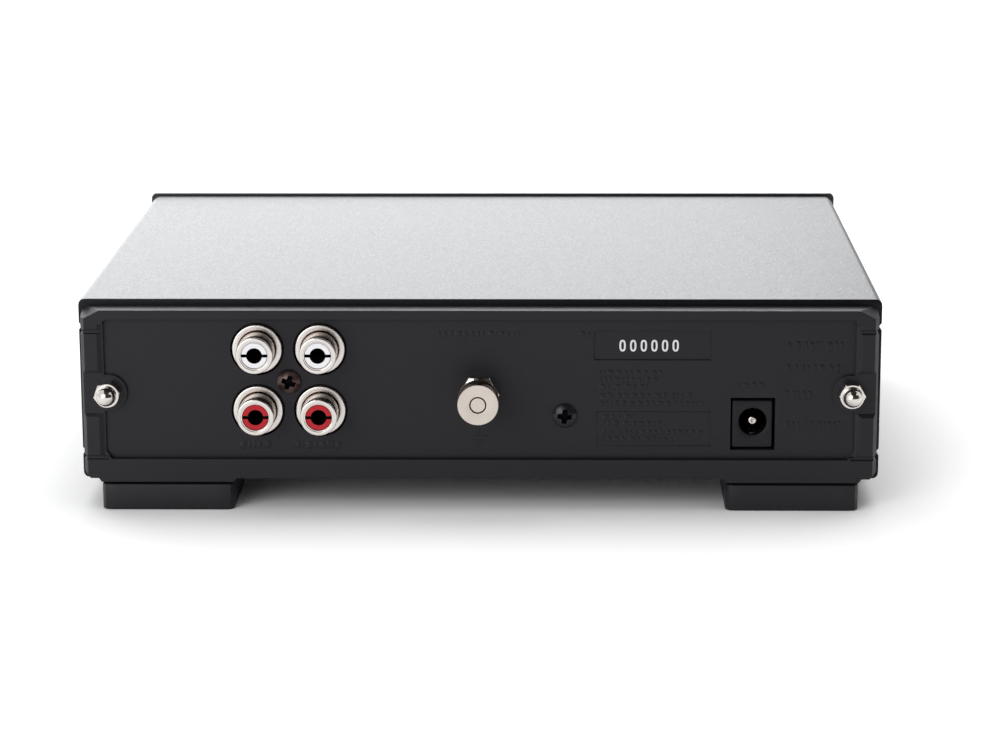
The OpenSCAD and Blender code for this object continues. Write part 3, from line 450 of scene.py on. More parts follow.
class Net:
    """The nodes of one material or world."""

    def __init__(self, owner: Union[bpy.types.Material, bpy.types.World]) -> None:
        """Empties the owner's node tree and takes it."""
        owner.use_nodes = True
        self.owner = owner
        self.tree = owner.node_tree
        self.tree.nodes.clear()

    def node(self, kind: str, settings: dict[str, object] | None = None,
             inputs: dict[Union[int, str], Value] | None = None) -> bpy.types.Node:
        """Adds a node.

        Args:
            kind: The node's type.
            settings: Attributes set first.
            inputs: Values or links of its sockets, by number or name.
        Returns:
            The node.
        """
        made = self.tree.nodes.new(kind)
        for key, value in (settings or {}).items():
            setattr(made, key, value)
        for key, value in (inputs or {}).items():
            target = made.inputs[key]
            if isinstance(value, Num):
                self.tree.links.new(value.socket, target)
            elif isinstance(value, bpy.types.NodeSocket):
                self.tree.links.new(value, target)
            else:
                target.default_value = value
        return made

    def number(self, kind: str, settings: dict[str, object] | None = None,
               inputs: dict[Union[int, str], Value] | None = None, output: Union[int, str] = 0) -> Num:
        """Adds a node and wraps one of its outputs."""
        return Num(self, self.node(kind, settings, inputs).outputs[output])

    def spot(self, stretch: Colour = (1.0, 1.0, 1.0)) -> bpy.types.NodeSocket:
        """Object coordinates in mm, stretched along each axis."""
        here = self.node("ShaderNodeTexCoord").outputs["Object"]
        scale = [s / MM for s in stretch]
        return self.node("ShaderNodeVectorMath", {"operation": "MULTIPLY"}, {0: here, 1: scale}).outputs[0]

    def place(self) -> tuple[Num, Num]:
        """The piece's own surface place: share of the turn, and length along the profile in mm."""
        uv = self.node("ShaderNodeUVMap", {"uv_map": "place"}).outputs[0]
        parts = self.node("ShaderNodeSeparateXYZ", None, {0: uv})
        return Num(self, parts.outputs[0]), Num(self, parts.outputs[1])

    def noise(self, size: float, detail: float, rough: float = 0.55, spot: Value | None = None) -> Num:
        """Smooth noise from 0 to 1 whose features are about size mm wide."""
        where = self.spot() if spot is None else spot
        return self.number("ShaderNodeTexNoise", None, {
            "Vector": where, "Scale": 1 / size, "Detail": detail, "Roughness": rough})

    def cells(self, size: float, spot: Value | None = None, smooth: float = 0.6) -> Num:
        """Rounded cells about size mm wide: 0 in their middles, rising to their borders."""
        where = self.spot() if spot is None else spot
        return self.number("ShaderNodeTexVoronoi", {"feature": "SMOOTH_F1"}, {
            "Vector": where, "Scale": 1 / size, "Smoothness": smooth})

    def around(self, turns: float, drift: float) -> bpy.types.NodeSocket:
        """A point that goes round a circle with the turn, so that noise on it has no seam."""
        share, length = self.place()
        cosine = self.number("ShaderNodeMath", {"operation": "COSINE"}, {0: share * TAU})
        sine = self.number("ShaderNodeMath", {"operation": "SINE"}, {0: share * TAU})
        return self.node("ShaderNodeCombineXYZ", None, {
            0: cosine * turns, 1: sine * turns, 2: length * drift}).outputs[0]

    def blend(self, factor: Value, first: Value, second: Value) -> bpy.types.NodeSocket:
        """Mixes two colours by a factor."""
        inputs = {0: factor, 6: _rgba(first), 7: _rgba(second)}
        return self.node("ShaderNodeMix", {"data_type": "RGBA"}, inputs).outputs[2]

    def bump(self, height: Num, depth: float) -> bpy.types.NodeSocket:
        """Normal of a relief: height 1 stands depth mm proud of height 0."""
        inputs = {"Height": height, "Distance": depth * MM, "Strength": 1.0}
        return self.node("ShaderNodeBump", None, inputs).outputs[0]

    def diffuse(self, colour: Colour) -> bpy.types.NodeSocket:
        """A plain matt shader of one colour."""
        return self.node("ShaderNodeBsdfDiffuse", None, {0: _rgba(colour)}).outputs[0]

    def surface(self, inputs: dict[str, Value]) -> bpy.types.Material:
        """Ends the tree in a Principled BSDF with these inputs."""
        shader = self.node("ShaderNodeBsdfPrincipled", None, inputs)
        self.node("ShaderNodeOutputMaterial", None, {0: shader.outputs[0]})
        return self.owner


def _rgba(value: Value) -> Value:
    """A plain colour with its alpha, or a link unchanged."""
    return (*value, 1.0) if isinstance(value, tuple) else value


# ---- finishes ------------------------------------------------------------------------------------


class Grain(Enum):
    """Reliefs and patterns that a finish can have."""

    SPARK = "fine pits of an eroded mould"
    PEEL = "soft swells of thick paint"
    TURNED = "marks that run round with a lathe's turning"
    RADIAL = "fine lines that run out from the middle"
    BRUSHED = "long scratches along Y"
    LAID = "flat tracks under solder resist"
    CAST = "faint smooth waviness"


@dataclass(frozen=True)
class Finish:
    """One finish: a colour, how it shines, and its relief."""

    name: str
    slot: str
    colour: Colour
    roughness: float
    grain: Grain = Grain.CAST
    grain_size: float = 0.5
    grain_depth: float = 0.01
    metallic: float = 0.0
    specular: float = 0.5
    mottle: float = 0.12
    rough_swing: float = 0.08
    swing_size: float = 2.0
    fixed: tuple[tuple[str, float], ...] = ()

    def relief(self, net: Net) -> Num:
        """Height of the grain, from about 0 to 1."""
        size = self.grain_size
        if self.grain is Grain.SPARK:
            return net.cells(size) * 0.7 + net.noise(size * 0.5, 1.0) * 0.5
        if self.grain is Grain.PEEL:
            return net.noise(size, 1.5, 0.6) * 0.75 + net.cells(size * 0.8) * 0.35
        if self.grain is Grain.TURNED:
            return net.noise(size, 2.0, 0.6, net.around(0.6, 1.0)) * 0.8 + net.noise(size * 3, 1.0) * 0.2
        if self.grain is Grain.RADIAL:
            return net.noise(size, 2.0, 0.6, net.around(8.0, 0.15))
        if self.grain is Grain.BRUSHED:
            return net.noise(size, 2.0, 0.6, net.spot((1.0, 0.04, 1.0)))
        if self.grain is Grain.LAID:
            lanes = net.cells(size, net.spot((1.0, 0.35, 0.01)), 0.0)
            return lanes.above(0.45, 0.05)
        return net.noise(size, 2.0)

    def tone(self, net: Net, relief: Num) -> bpy.types.NodeSocket:
        """Colour over the surface: the finish's own, darker and lighter in broad faint patches."""
        patches = net.noise(self.grain_size * 9, 3.0, 0.6)
        dark = tuple(c * (1 - self.mottle) for c in self.colour)
        light = tuple(min(1.0, c * (1 + self.mottle)) for c in self.colour)
        base = net.blend(patches, dark, light)
        if self.grain is Grain.LAID:
            return net.blend(relief, base, tuple(min(1.0, c * 1.5 + 0.01) for c in self.colour))
        return base

    def material(self) -> bpy.types.Material:
        """The finish's material, made once."""
        made = bpy.data.materials.get(self.name)
        return made if made is not None else self.build(Net(bpy.data.materials.new(self.name)))

    def build(self, net: Net) -> bpy.types.Material:
        """Builds the material: tone, a roughness that swings with fine noise, and the grain's bump."""
        relief = self.relief(net)
        colour = self.tone(net, relief)
        rough = net.noise(self.swing_size, 2.0) * (2 * self.rough_swing) + (self.roughness - self.rough_swing)
        inputs: dict[str, Value] = {
            "Base Color": colour, "Roughness": rough, "Metallic": self.metallic,
            "Specular IOR Level": self.specular, "Normal": net.bump(relief, self.grain_depth)}
        inputs.update(dict(self.fixed))
        return net.surface(inputs)


@dataclass(frozen=True)
class BandedFinish(Finish):
    """Lacquer with coloured code bands across X, repeated over the row of resistors."""

    pitch: float = 10.0
    start: float = 0.0
    band_width: float = 0.4
    blur: float = 0.02
    bands: tuple[tuple[float, Colour], ...] = (
        (0.3, (0.35, 0.12, 0.02)), (1.2, (0.02, 0.02, 0.02)), (2.1, (0.5, 0.05, 0.04)))

    def tone(self, net: Net, relief: Num) -> bpy.types.NodeSocket:
        """The lacquer's colour, changed between each band's place along the body and its width on."""
        base = super().tone(net, relief)
        x = net.number("ShaderNodeSeparateXYZ", None, {0: net.spot()})
        along = net.number("ShaderNodeMath", {"operation": "PINGPONG"},
                           {0: x - self.start, 1: self.pitch / 2})
        for place, colour in self.bands:
            begun = (along - place).above(0.0, self.blur)
            ended = (along - place - self.band_width).above(0.0, self.blur)
            base = net.blend(begun * (1 - ended), base, colour)
        return base


@dataclass(frozen=True)
class BoardFinish(Finish):
    """Solder resist over tracks, painted dark as shade where Y passes the edge level."""

    edge: float = 0.0
    painted_shade_blur: float = 0.2
    painted_shade_tone: Colour = (0.006, 0.006, 0.006)

    def tone(self, net: Net, relief: Num) -> bpy.types.NodeSocket:
        """The resist's colour, painted dark as shade where Y passes the edge."""
        y = net.number("ShaderNodeSeparateXYZ", None, {0: net.spot()}, 1)
        past = (y - self.edge).above(0.0, self.painted_shade_blur)
        return net.blend(past, super().tone(net, relief), self.painted_shade_tone)


SLEEVE_PAINT = Finish("sleeve_textured_paint", "sleeve_paint", (0.0050, 0.0052, 0.0072), 0.31, Grain.PEEL,
                      0.38, 0.026, specular=0.15, mottle=0.03, rough_swing=0.14, swing_size=0.34)
FASCIA_PAINT = Finish("fascia_satin_paint", "fascia_paint", (0.012, 0.012, 0.014), 0.34, Grain.PEEL, 0.30,
                      0.006)
PANEL_PLASTIC = Finish("panel_moulded_plastic", "moulded_black", (0.0095, 0.0089, 0.0124), 0.42,
                       Grain.SPARK, 0.22, 0.005, specular=0.25, mottle=0.08)
FOOT_PLASTIC = Finish("foot_moulded_rubber", "foot_rubber", (0.0105, 0.0100, 0.0130), 0.5, Grain.SPARK,
                      0.35, 0.008, specular=0.3, mottle=0.10)
MARK_PLASTIC = Finish("mark_moulded_plastic", "moulded_black", (0.0090, 0.0084, 0.0118), 0.38,
                      Grain.SPARK, 0.22, 0.003, specular=0.25)
DIGIT_INK = Finish("digit_white_ink", "white_plastic", (0.80, 0.80, 0.82), 0.5, Grain.CAST, 0.3, 0.004,
                   mottle=0.04)
NICKEL = Finish("nickel_polished", "nickel", (0.62, 0.585, 0.555), 0.13, Grain.TURNED, 0.35, 0.002, 1.0,
                mottle=0.05, rough_swing=0.04)
# Painted dark reflection: the barrels' sides are a darker brown copy of the nickel, standing in for the black
# panel that they reflect.
NICKEL_SIDE_PAINTED_REFLECTION = Finish("nickel_barrel_side_painted_reflection", "nickel", (0.33, 0.265, 0.23), 0.14, Grain.TURNED, 0.35, 0.003,
                     1.0, mottle=0.10, rough_swing=0.05)
NICKEL_FLANGE = Finish("nickel_flange", "nickel", (0.64, 0.60, 0.575), 0.27, Grain.RADIAL, 0.6, 0.009,
                       1.0, mottle=0.05, rough_swing=0.06)
# Painted dark reflection: the knurled side is a much darker copy of the nickel, standing in for the dark
# panel that it reflects.
NICKEL_KNURL_PAINTED_REFLECTION = Finish("nickel_knurled_side_painted_reflection", "nickel", (0.17, 0.135, 0.125), 0.12, Grain.TURNED, 0.3,
                      0.006, 1.0, mottle=0.3, rough_swing=0.08)
NICKEL_SATIN = Finish("nickel_satin_face", "nickel", (0.575, 0.52, 0.472), 0.38, Grain.CAST, 0.5, 0.006,
                      1.0, mottle=0.07, rough_swing=0.05)
ZINC = Finish("zinc_plated_steel", "zinc_steel", (0.60, 0.60, 0.60), 0.34, Grain.BRUSHED, 0.3, 0.003, 1.0)
WHITE_PLASTIC = Finish("white_insulator", "white_plastic", (0.90, 0.90, 0.92), 0.28, Grain.CAST, 0.8,
                       0.004, mottle=0.02, rough_swing=0.04)
RED_PLASTIC = Finish("red_insulator", "red_plastic", (0.47, 0.012, 0.020), 0.30, Grain.CAST, 0.8, 0.004,
                     specular=0.25, mottle=0.06, rough_swing=0.04)
CONTACT_BRIGHT = Finish("contact_tinned_bronze", "contact_gold", (0.55, 0.515, 0.485), 0.25, Grain.TURNED,
                        0.3, 0.002, 1.0, mottle=0.05)
# Painted shade: the socket contacts sit deep inside the insulators, so their bronze is painted near-black as
# the shade there.
CONTACT_PAINTED_SHADE = Finish("contact_bronze_painted_shade", "contact_gold", (0.030, 0.026, 0.030), 0.45, Grain.TURNED,
                      0.3, 0.002, 0.7)
# Painted shade: a near-black, barely shiny finish laid on screw recesses, grooves, holes and bores, standing
# in for the shade inside them.
RECESS_PAINTED_SHADE = Finish("recess_painted_shade", "black_steel", (0.0020, 0.0016, 0.0038), 0.7, Grain.CAST, 0.3,
                     0.002, specular=0.04)
COPPER_SCREW = Finish("screw_browned_copper", "copper_screw", (0.075, 0.048, 0.047), 0.32, Grain.TURNED,
                      0.45, 0.012, 0.85, mottle=0.4, rough_swing=0.12)
BLACK_STEEL = Finish("screw_black_oxide", "black_steel", (0.022, 0.021, 0.024), 0.26, Grain.TURNED, 0.35,
                     0.006, 0.6, specular=0.4, mottle=0.3, rough_swing=0.10)
SOCKET_RESIN = Finish("socket_black_resin", "black_resin", (0.0085, 0.0080, 0.0105), 0.40, Grain.SPARK,
                      0.25, 0.004, specular=0.22, mottle=0.10)
# Past Y = 60.5 mm the board is painted dark as shade, where it shows through the gap round the power socket.
BOARD_RESIN = BoardFinish("board_green_resist_and_painted_shade", "board_resin", (0.012, 0.10, 0.04), 0.32, Grain.LAID, 3.0,
                          0.03, edge=60.5)
CLEAR_PIPE = Finish("light_pipe_clear", "lamp_clear", (0.80, 0.84, 0.88), 0.12, Grain.CAST, 0.8, 0.002,
                    mottle=0.02, fixed=(("Transmission Weight", 0.6), ("IOR", 1.49)))
SLEEVE_BLUE = Finish("capacitor_blue_sleeve", "sleeve_blue", (0.02, 0.035, 0.14), 0.24, Grain.CAST, 1.2,
                     0.01)
FILM_RED = Finish("capacitor_red_epoxy", "film_red", (0.40, 0.03, 0.025), 0.25, Grain.PEEL, 1.0, 0.03)
RESISTOR_BLUE = BandedFinish("resistor_blue_lacquer", "resistor_blue", (0.16, 0.36, 0.55), 0.28,
                             Grain.CAST, 0.6, 0.01, pitch=10.0, start=59.9)
ALUMINIUM = Finish("heat_sink_aluminium", "bare_aluminium", (0.62, 0.62, 0.63), 0.38, Grain.BRUSHED, 0.25,
                   0.004, 1.0)
RELAY_PLASTIC = Finish("relay_pale_plastic", "relay_white", (0.68, 0.68, 0.65), 0.30, Grain.SPARK, 0.4,
                       0.004)
BUTTON_PLASTIC = Finish("button_satin_plastic", "button_black", (0.014, 0.014, 0.016), 0.34, Grain.SPARK,
                        0.25, 0.004)


# ---- the case ------------------------------------------------------------------------------------


@dataclass
class Sleeve:
    """The extruded sleeve: a rounded rectangular tube with two V-grooves along each side."""

    corner: float = 1.5
    wall: float = 2.0
    groove_depth: float = 0.7
    groove_height: float = 1.6
    groove_rise: float = 14.3
    groove_ease: float = 0.12
    end_round: float = 0.25
    guide_depth: float = 2.0
    guide_thick: float = 1.2
    guide_sunk: float = 0.1
    guide_round: float = 0.2
    guide_gap: float = 0.05
    board_gap: float = 0.1
    rim_band: float = 0.4

    def outline(self, w: float, h: float) -> Array:
        """Half widths w and h give the tube's outline, counter-clockwise, with its four grooves."""
        def side(s: float) -> list[tuple[float, float, float]]:
            """Corners of one side's grooves, from bottom to top."""
            half, deep = self.groove_height / 2, self.groove_depth
            return [corner for t in (-self.groove_rise, self.groove_rise) for corner in (
                (s * w, t - half, self.groove_ease), (s * (w - deep), t, self.groove_ease),
                (s * w, t + half, self.groove_ease))]
        r = self.corner
        corners = [(w, -h, r), *side(1), (w, h, r), (-w, h, r), *side(-1)[::-1], (-w, -h, r)]
        return soften(corners, True, 5)

    def build(self) -> None:
        """Carries the outline from the front rim to the rear rim, round both rims and back inside."""
        low, high = corners_of("case_sleeve")
        w, h = (high[0] - low[0]) / 2, (high[2] - low[2]) / 2
        zm = (low[2] + high[2]) / 2
        outer = self.outline(w, h)
        inner = np.clip(outer, [-w + self.wall, -h + self.wall], [w - self.wall, h - self.wall])
        front = [(inset(outer, d), low[1] + self.end_round - (y - low[1]))
                 for d, y in edge(self.end_round, low[1] + self.end_round, False)]
        rear = [(inset(outer, d), y) for d, y in edge(self.end_round, high[1])]
        band = self.end_round + self.rim_band
        middle = [(outer, low[1] + band), (outer, high[1] - band)]
        stack = [(inner, low[1]), *front, *middle, *rear, (inner, high[1])]
        skin = Skin("sleeve_extrusion")
        skin.grid(stacked(stack, (0, zm)), stack_closed=True)
        board_low, board_high = corners_of("circuit_board")
        bar = rectangle(self.guide_depth + 2 * self.guide_sunk, self.guide_thick, self.guide_round, 4)
        first, last = low[1] + self.guide_gap, high[1] - self.guide_gap
        for sx in (-1, 1):
            for z in (board_low[2] - self.board_gap - self.guide_thick, board_high[2] + self.board_gap):
                x = sx * (w - self.wall - self.guide_depth / 2 + self.guide_sunk)
                stack = [(bar * 0, first), (bar, first), (bar, last), (bar * 0, last)]
                skin.grid(stacked(stack, (x, z + self.guide_thick / 2)))
        skin.piece([SLEEVE_PAINT], stands_for=["case_sleeve"])


@dataclass
class Feet:
    """Four moulded feet, each with a deep recess and a screw."""

    width: float = 29.5
    depth: float = 25.0
    corner: float = 1.8
    lower_round: float = 0.4
    upper_round: float = 0.25
    recess_width: float = 5.9
    recess_depth: float = 3.0
    recess_lip: float = 0.2
    recess_flare: float = 1.06
    hole_width: float = 3.2
    head_width: float = 5.3
    count: int = 96

    def build(self) -> None:
        """Carries each foot's outline from its recess's floor, out over its bottom and up its sides."""
        low, high = corners_of("feet")
        screw_high = corners_of("foot_screws")[1]
        feet, screws = Skin("feet_moulded"), Skin("foot_screws_turned")
        outline = evenly(rectangle(self.width, self.depth, self.corner), self.count)
        hole, recess = ring(self.hole_width / 2, self.count), ring(self.recess_width / 2, self.count)
        top = high[2]
        for sx in (-1, 1):
            for y in (low[1] + self.depth / 2, high[1] - self.depth / 2):
                x = sx * (high[0] - self.width / 2)
                under = [(inset(outline, d), self.lower_round - level)
                         for d, level in edge(self.lower_round, self.lower_round, False)]
                over = [(inset(outline, d), level) for d, level in edge(self.upper_round, top)]
                stack = [(hole, top), (hole, self.recess_depth), (recess, self.recess_depth),
                         (recess, self.recess_lip), (recess * self.recess_flare, 0.0), *under, *over]
                feet.grid(stacked(stack, (x, y), Along.Z), stack_closed=True)
                turn = 20 + 40 * sx + y * 0.3
                head = ScrewHead(self.head_width, PANEL_SCREW_HEIGHT, SCREW_SHANK,
                                 screw_high[2] - self.recess_depth, turn)
                head.add(screws, x, y, self.recess_depth, Along.Z, -1)
        feet.piece([FOOT_PLASTIC], stands_for=["feet"])
        screws.piece([BLACK_STEEL, RECESS_PAINTED_SHADE], stands_for=["foot_screws"])


@dataclass
class ScrewHead:
    """A pan head with a cross recess, on its shank."""

    width: float
    height: float
    shank_width: float
    shank_length: float
    turn: float
    crown: float = 0.8
    arm_reach: float = 0.29
    arm_half: float = 0.095
    fillet: float = 7.0
    recess_depth: float = 0.65
    count: int = 144

    def add(self, skin: Skin, x: float, z: float, seat: float, along: Along, way: int = 1) -> None:
        """Adds the screw to a skin.

        The head's top is a sphere cap. How far a point lies inside two crossed bars is the soft
        maximum of both, log(exp(f a) + exp(f b)) / f with f = fillet. The recess is a smooth step
        of that, times its depth, so its walls slope a little, and its faces take finish 1, a
        near-black painted shade.

        Args:
            skin: The skin that takes it.
            x: First coordinate of its axis.
            z: Second coordinate of its axis.
            seat: Level of the face that the head stands on.
            along: The screw's axis.
            way: 1 where the head points up the axis, and -1 where it points down it.
        """
        r, ball = self.width / 2, self.crown * self.width
        radii = np.linspace(0, r - 0.12, 44)
        rows = np.concatenate([radii, [r - 0.03, r, r, self.shank_width / 2, self.shank_width / 2, 0]])
        rim = self.height - ball + math.sqrt(ball ** 2 - r ** 2)
        rise = np.concatenate([self.height - ball + np.sqrt(ball ** 2 - radii ** 2),
                               [rim - 0.02, rim - 0.14, 0, 0, -self.shank_length, -self.shank_length]])
        angle = bearings(self.count)[:, None]
        a, b = rows[None, :] * np.cos(angle), rows[None, :] * np.sin(angle)
        t = math.radians(self.turn)
        p, q = np.abs(a * math.cos(t) + b * math.sin(t)), np.abs(b * math.cos(t) - a * math.sin(t))
        reach, half = self.arm_reach * self.width, self.arm_half * self.width
        bars = np.minimum(reach - p, half - q), np.minimum(reach - q, half - p)
        inside = np.logaddexp(self.fillet * bars[0], self.fillet * bars[1]) / self.fillet
        inside[:, len(radii):] = -1
        sunk = ease((inside + 0.05) / 0.2) * self.recess_depth * self.height
        level = seat + way * (rise[None, :] - sunk)
        points = np.stack([a + x, b + z, level], 2)[..., list(along.value)]
        around = (inside + np.roll(inside, -1, 0)) / 2
        # Painted shade: quads on or inside the recess take finish 1, the near-black finish.
        skin.grid(points, finish=(around[:, 1:] + around[:, :-1] > -0.02).astype(int))


@dataclass
class RearPanel:
    """The moulded rear panel with its plate, and raised marks in its own plastic."""

    edge_round: float = 0.12
    mark_rise: float = 0.11
    mark_bar: float = 1.15
    digit_height: float = 2.65
    digit_width: float = 1.42
    digit_stroke: float = 0.42
    digit_pitch: float = 2.34
    digits: int = 6
    digit_rise: float = 0.10
    digit_power: float = 2.6
    digits_middle: tuple[float, float] = (-37.55, 37.25)
    plate_floor: float = 0.4
    frame_box: tuple[float, float, float, float] = (-51.2, -25.9, 14.4, 22.4)
    rows_start: float = -26.4
    rows: tuple[tuple[float, float], ...] = (
        (-40.6, 31.2), (-39.5, 29.6), (-37.2, 28.0), (-47.0, 26.0), (-50.6, 24.2))
    box_rows_start: float = -27.2
    box_rows: tuple[tuple[float, float], ...] = (
        (-34.5, 21.1), (-40.2, 19.6), (-49.5, 17.6), (-43.0, 16.0))
    labels: tuple[tuple[float, float, float, float], ...] = (
        (53.4, 46.4, 14.6, 1.7), (41.0, 30.4, 14.6, 1.7), (-56.8, -63.5, 28.4, 1.2),
        (9.2, -9.3, 39.9, 1.2), (-22.0, -25.2, 39.9, 1.1), (-67.5, -80.4, 37.4, 1.9),
        (-67.5, -79.6, 32.2, 1.9), (-67.5, -74.0, 26.2, 1.9), (-67.5, -80.0, 19.3, 1.9))
    earth_stem: tuple[float, float, float] = (0.15, 16.9, 18.75)
    earth_bars: tuple[tuple[float, float], ...] = ((2.0, 16.75), (1.3, 15.75), (0.6, 14.75))
    earth_half: float = 0.16
    line_width: float = 0.3
    line_rise: float = 0.12

    def build(self) -> None:
        """Rounds the moulding's edges, then adds its marks."""
        eased_copy("rear_panel_moulding", "rear_panel", PANEL_PLASTIC, self.edge_round)
        self.level = field_level()
        self.bars()
        self.plate_digits()

    def bar(self, skin: Skin, x0: float, x1: float, z0: float, z1: float, level: float, rise: float) -> None:
        """Adds a low bar with rounded ends and a soft upper edge, sunk a little into what carries it."""
        radius = min(x1 - x0, z1 - z0) / 2 * 0.8
        outline = rectangle(x1 - x0, z1 - z0, radius, 4)
        soft = min(0.4 * radius, 0.06)
        foot, top = level - 0.05, level + rise
        stack = [(outline * 0, foot), (outline, foot), (outline, top - soft),
                 (inset(outline, soft * 0.35), top - soft * 0.3), (inset(outline, soft), top),
                 (outline * 0, top)]
        skin.grid(stacked(stack, ((x0 + x1) / 2, (z0 + z1) / 2)))

    def row(self, skin: Skin, x0: float, x1: float, z: float, height: float, seed: int) -> None:
        """Adds a row of short bars of uneven lengths from x0 towards -X, where small print would stand."""
        draw = np.random.default_rng(seed)
        x = x0
        while x > x1 + 0.5:
            length = min(float(draw.uniform(0.5, 1.6)), x - x1)
            shift = float(draw.uniform(-0.08, 0.08)) * height
            low, high = z + shift - height / 2, z + shift + height / 2
            self.bar(skin, x - length, x, low, high, self.level, self.mark_rise)
            x -= length + float(draw.choice([0.32, 0.32, 0.75]))

    def bars(self) -> None:
        """Adds the rows of raised bars, the framed box and the earth sign."""
        skin = Skin("rear_panel_marks")
        for index, (x1, z) in enumerate(self.rows):
            self.row(skin, self.rows_start, x1, z, self.mark_bar, 11 + index)
        for index, (x1, z) in enumerate(self.box_rows):
            self.row(skin, self.box_rows_start, x1, z, self.mark_bar, 31 + index)
        (x0, x1, z0, z1), wide = self.frame_box, self.line_width
        for bar in ((x0, x1, z0, z0 + wide), (x0, x1, z1 - wide, z1),
                    (x0, x0 + wide, z0, z1), (x1 - wide, x1, z0, z1)):
            self.bar(skin, *bar, self.level, self.line_rise)
        for index, (x0, x1, z, height) in enumerate(self.labels):
            self.row(skin, x0, x1, z, height, 51 + index)
        half, z0, z1 = self.earth_stem
        self.bar(skin, -half, half, z0, z1, self.level, self.mark_rise)
        for half, z in self.earth_bars:
            self.bar(skin, -half, half, z - self.earth_half, z + self.earth_half, self.level, self.mark_rise)
        skin.piece([MARK_PLASTIC])

    def plate_digits(self) -> None:
        """Adds a row of plain noughts: each is an oval loop that carries a low rounded section.

        With t round the oval and s across the stroke, a point lies on the oval whose half width is
        the stroke's middle plus half the stroke times cos s, and rises by digit_rise times sin s.
        """
        skin = Skin("plate_digits")
        t = np.linspace(0, TAU, 56, endpoint=False)
        s = np.linspace(0, math.pi, 9)
        half, floor = self.digit_stroke / 2, self.level - self.plate_floor
        power = self.digit_power
        squared = (np.abs(np.cos(t)) ** power + np.abs(np.sin(t)) ** power) ** (-1 / power)
        for index in range(self.digits):
            x = self.digits_middle[0] + (index - (self.digits - 1) / 2) * self.digit_pitch
            wide = (self.digit_width / 2 - half) + half * np.cos(s)[None, :]
            tall = (self.digit_height / 2 - half) + half * np.cos(s)[None, :]
            a = x + wide * (squared * np.cos(t))[:, None]
            c = self.digits_middle[1] + tall * (squared * np.sin(t))[:, None]
            level = floor + self.digit_rise * np.sin(s)[None, :] + 0 * a
            base = np.stack([a[:, [0, -1]], level[:, [0, -1]] - 0.05, c[:, [0, -1]]], 2)
            grid = np.concatenate([base[:, :1], np.stack([a, level, c], 2), base[:, 1:]], 1)
            skin.grid(grid, stack_closed=True)
        skin.piece([DIGIT_INK])


# ---- turned pieces -------------------------------------------------------------------------------


@dataclass
class DomedNuts:
    """The two domed nuts on the tie rods' rear ends."""

    across_flats: float = 5.3
    hex_height: float = 3.0
    dome_width: float = 4.2
    seat_chamfer: float = 0.15
    rod_width: float = 3.0
    turns: tuple[float, float] = (12.0, 0.0)
    count: int = 144

    def build(self) -> None:
        """Stacks the hexagon, its chamfer, the shoulder and the dome.

        The radius at an angle is the smaller of the hexagon's and the chamfer cone's.
        """
        low, high = corners_of("domed_nuts")
        seat, top = low[1], high[1]
        skin = Skin("domed_nuts_plated")
        angle = bearings(self.count)
        z, r = (low[2] + high[2]) / 2, self.dome_width / 2
        rod_x = corners_of("tie_rods")[1][0] - self.rod_width / 2
        lift = np.linspace(self.seat_chamfer, self.hex_height, 16)
        for side, turn in zip((rod_x, -rod_x), self.turns):
            hexagon = hexagonal(angle, self.across_flats, 90 - turn)
            unit = ring(1.0, self.count)
            stack = [(unit * 0, seat), (unit * (hexagon - self.seat_chamfer)[:, None], seat)]
            cone = self.across_flats / 2 + (self.hex_height - lift)
            stack += [(unit * blunt_least(hexagon, c)[:, None], seat + y) for c, y in zip(cone, lift)]
            base = seat + self.hex_height
            neck = soften([(self.across_flats / 2 - 0.05, base, 0), (r + 0.12, base, 0.12),
                           (r, base + 0.15, 0.1), (r, top - r, 0)], steps=4)
            stack += [(unit * a, y) for a, y in neck]
            dome = np.linspace(0, math.pi / 2, 18)
            stack += [(unit * r * math.cos(t), top - r + r * math.sin(t)) for t in dome]
            skin.grid(stacked(stack, (side, z)))
        skin.piece([NICKEL], stands_for=["domed_nuts"])


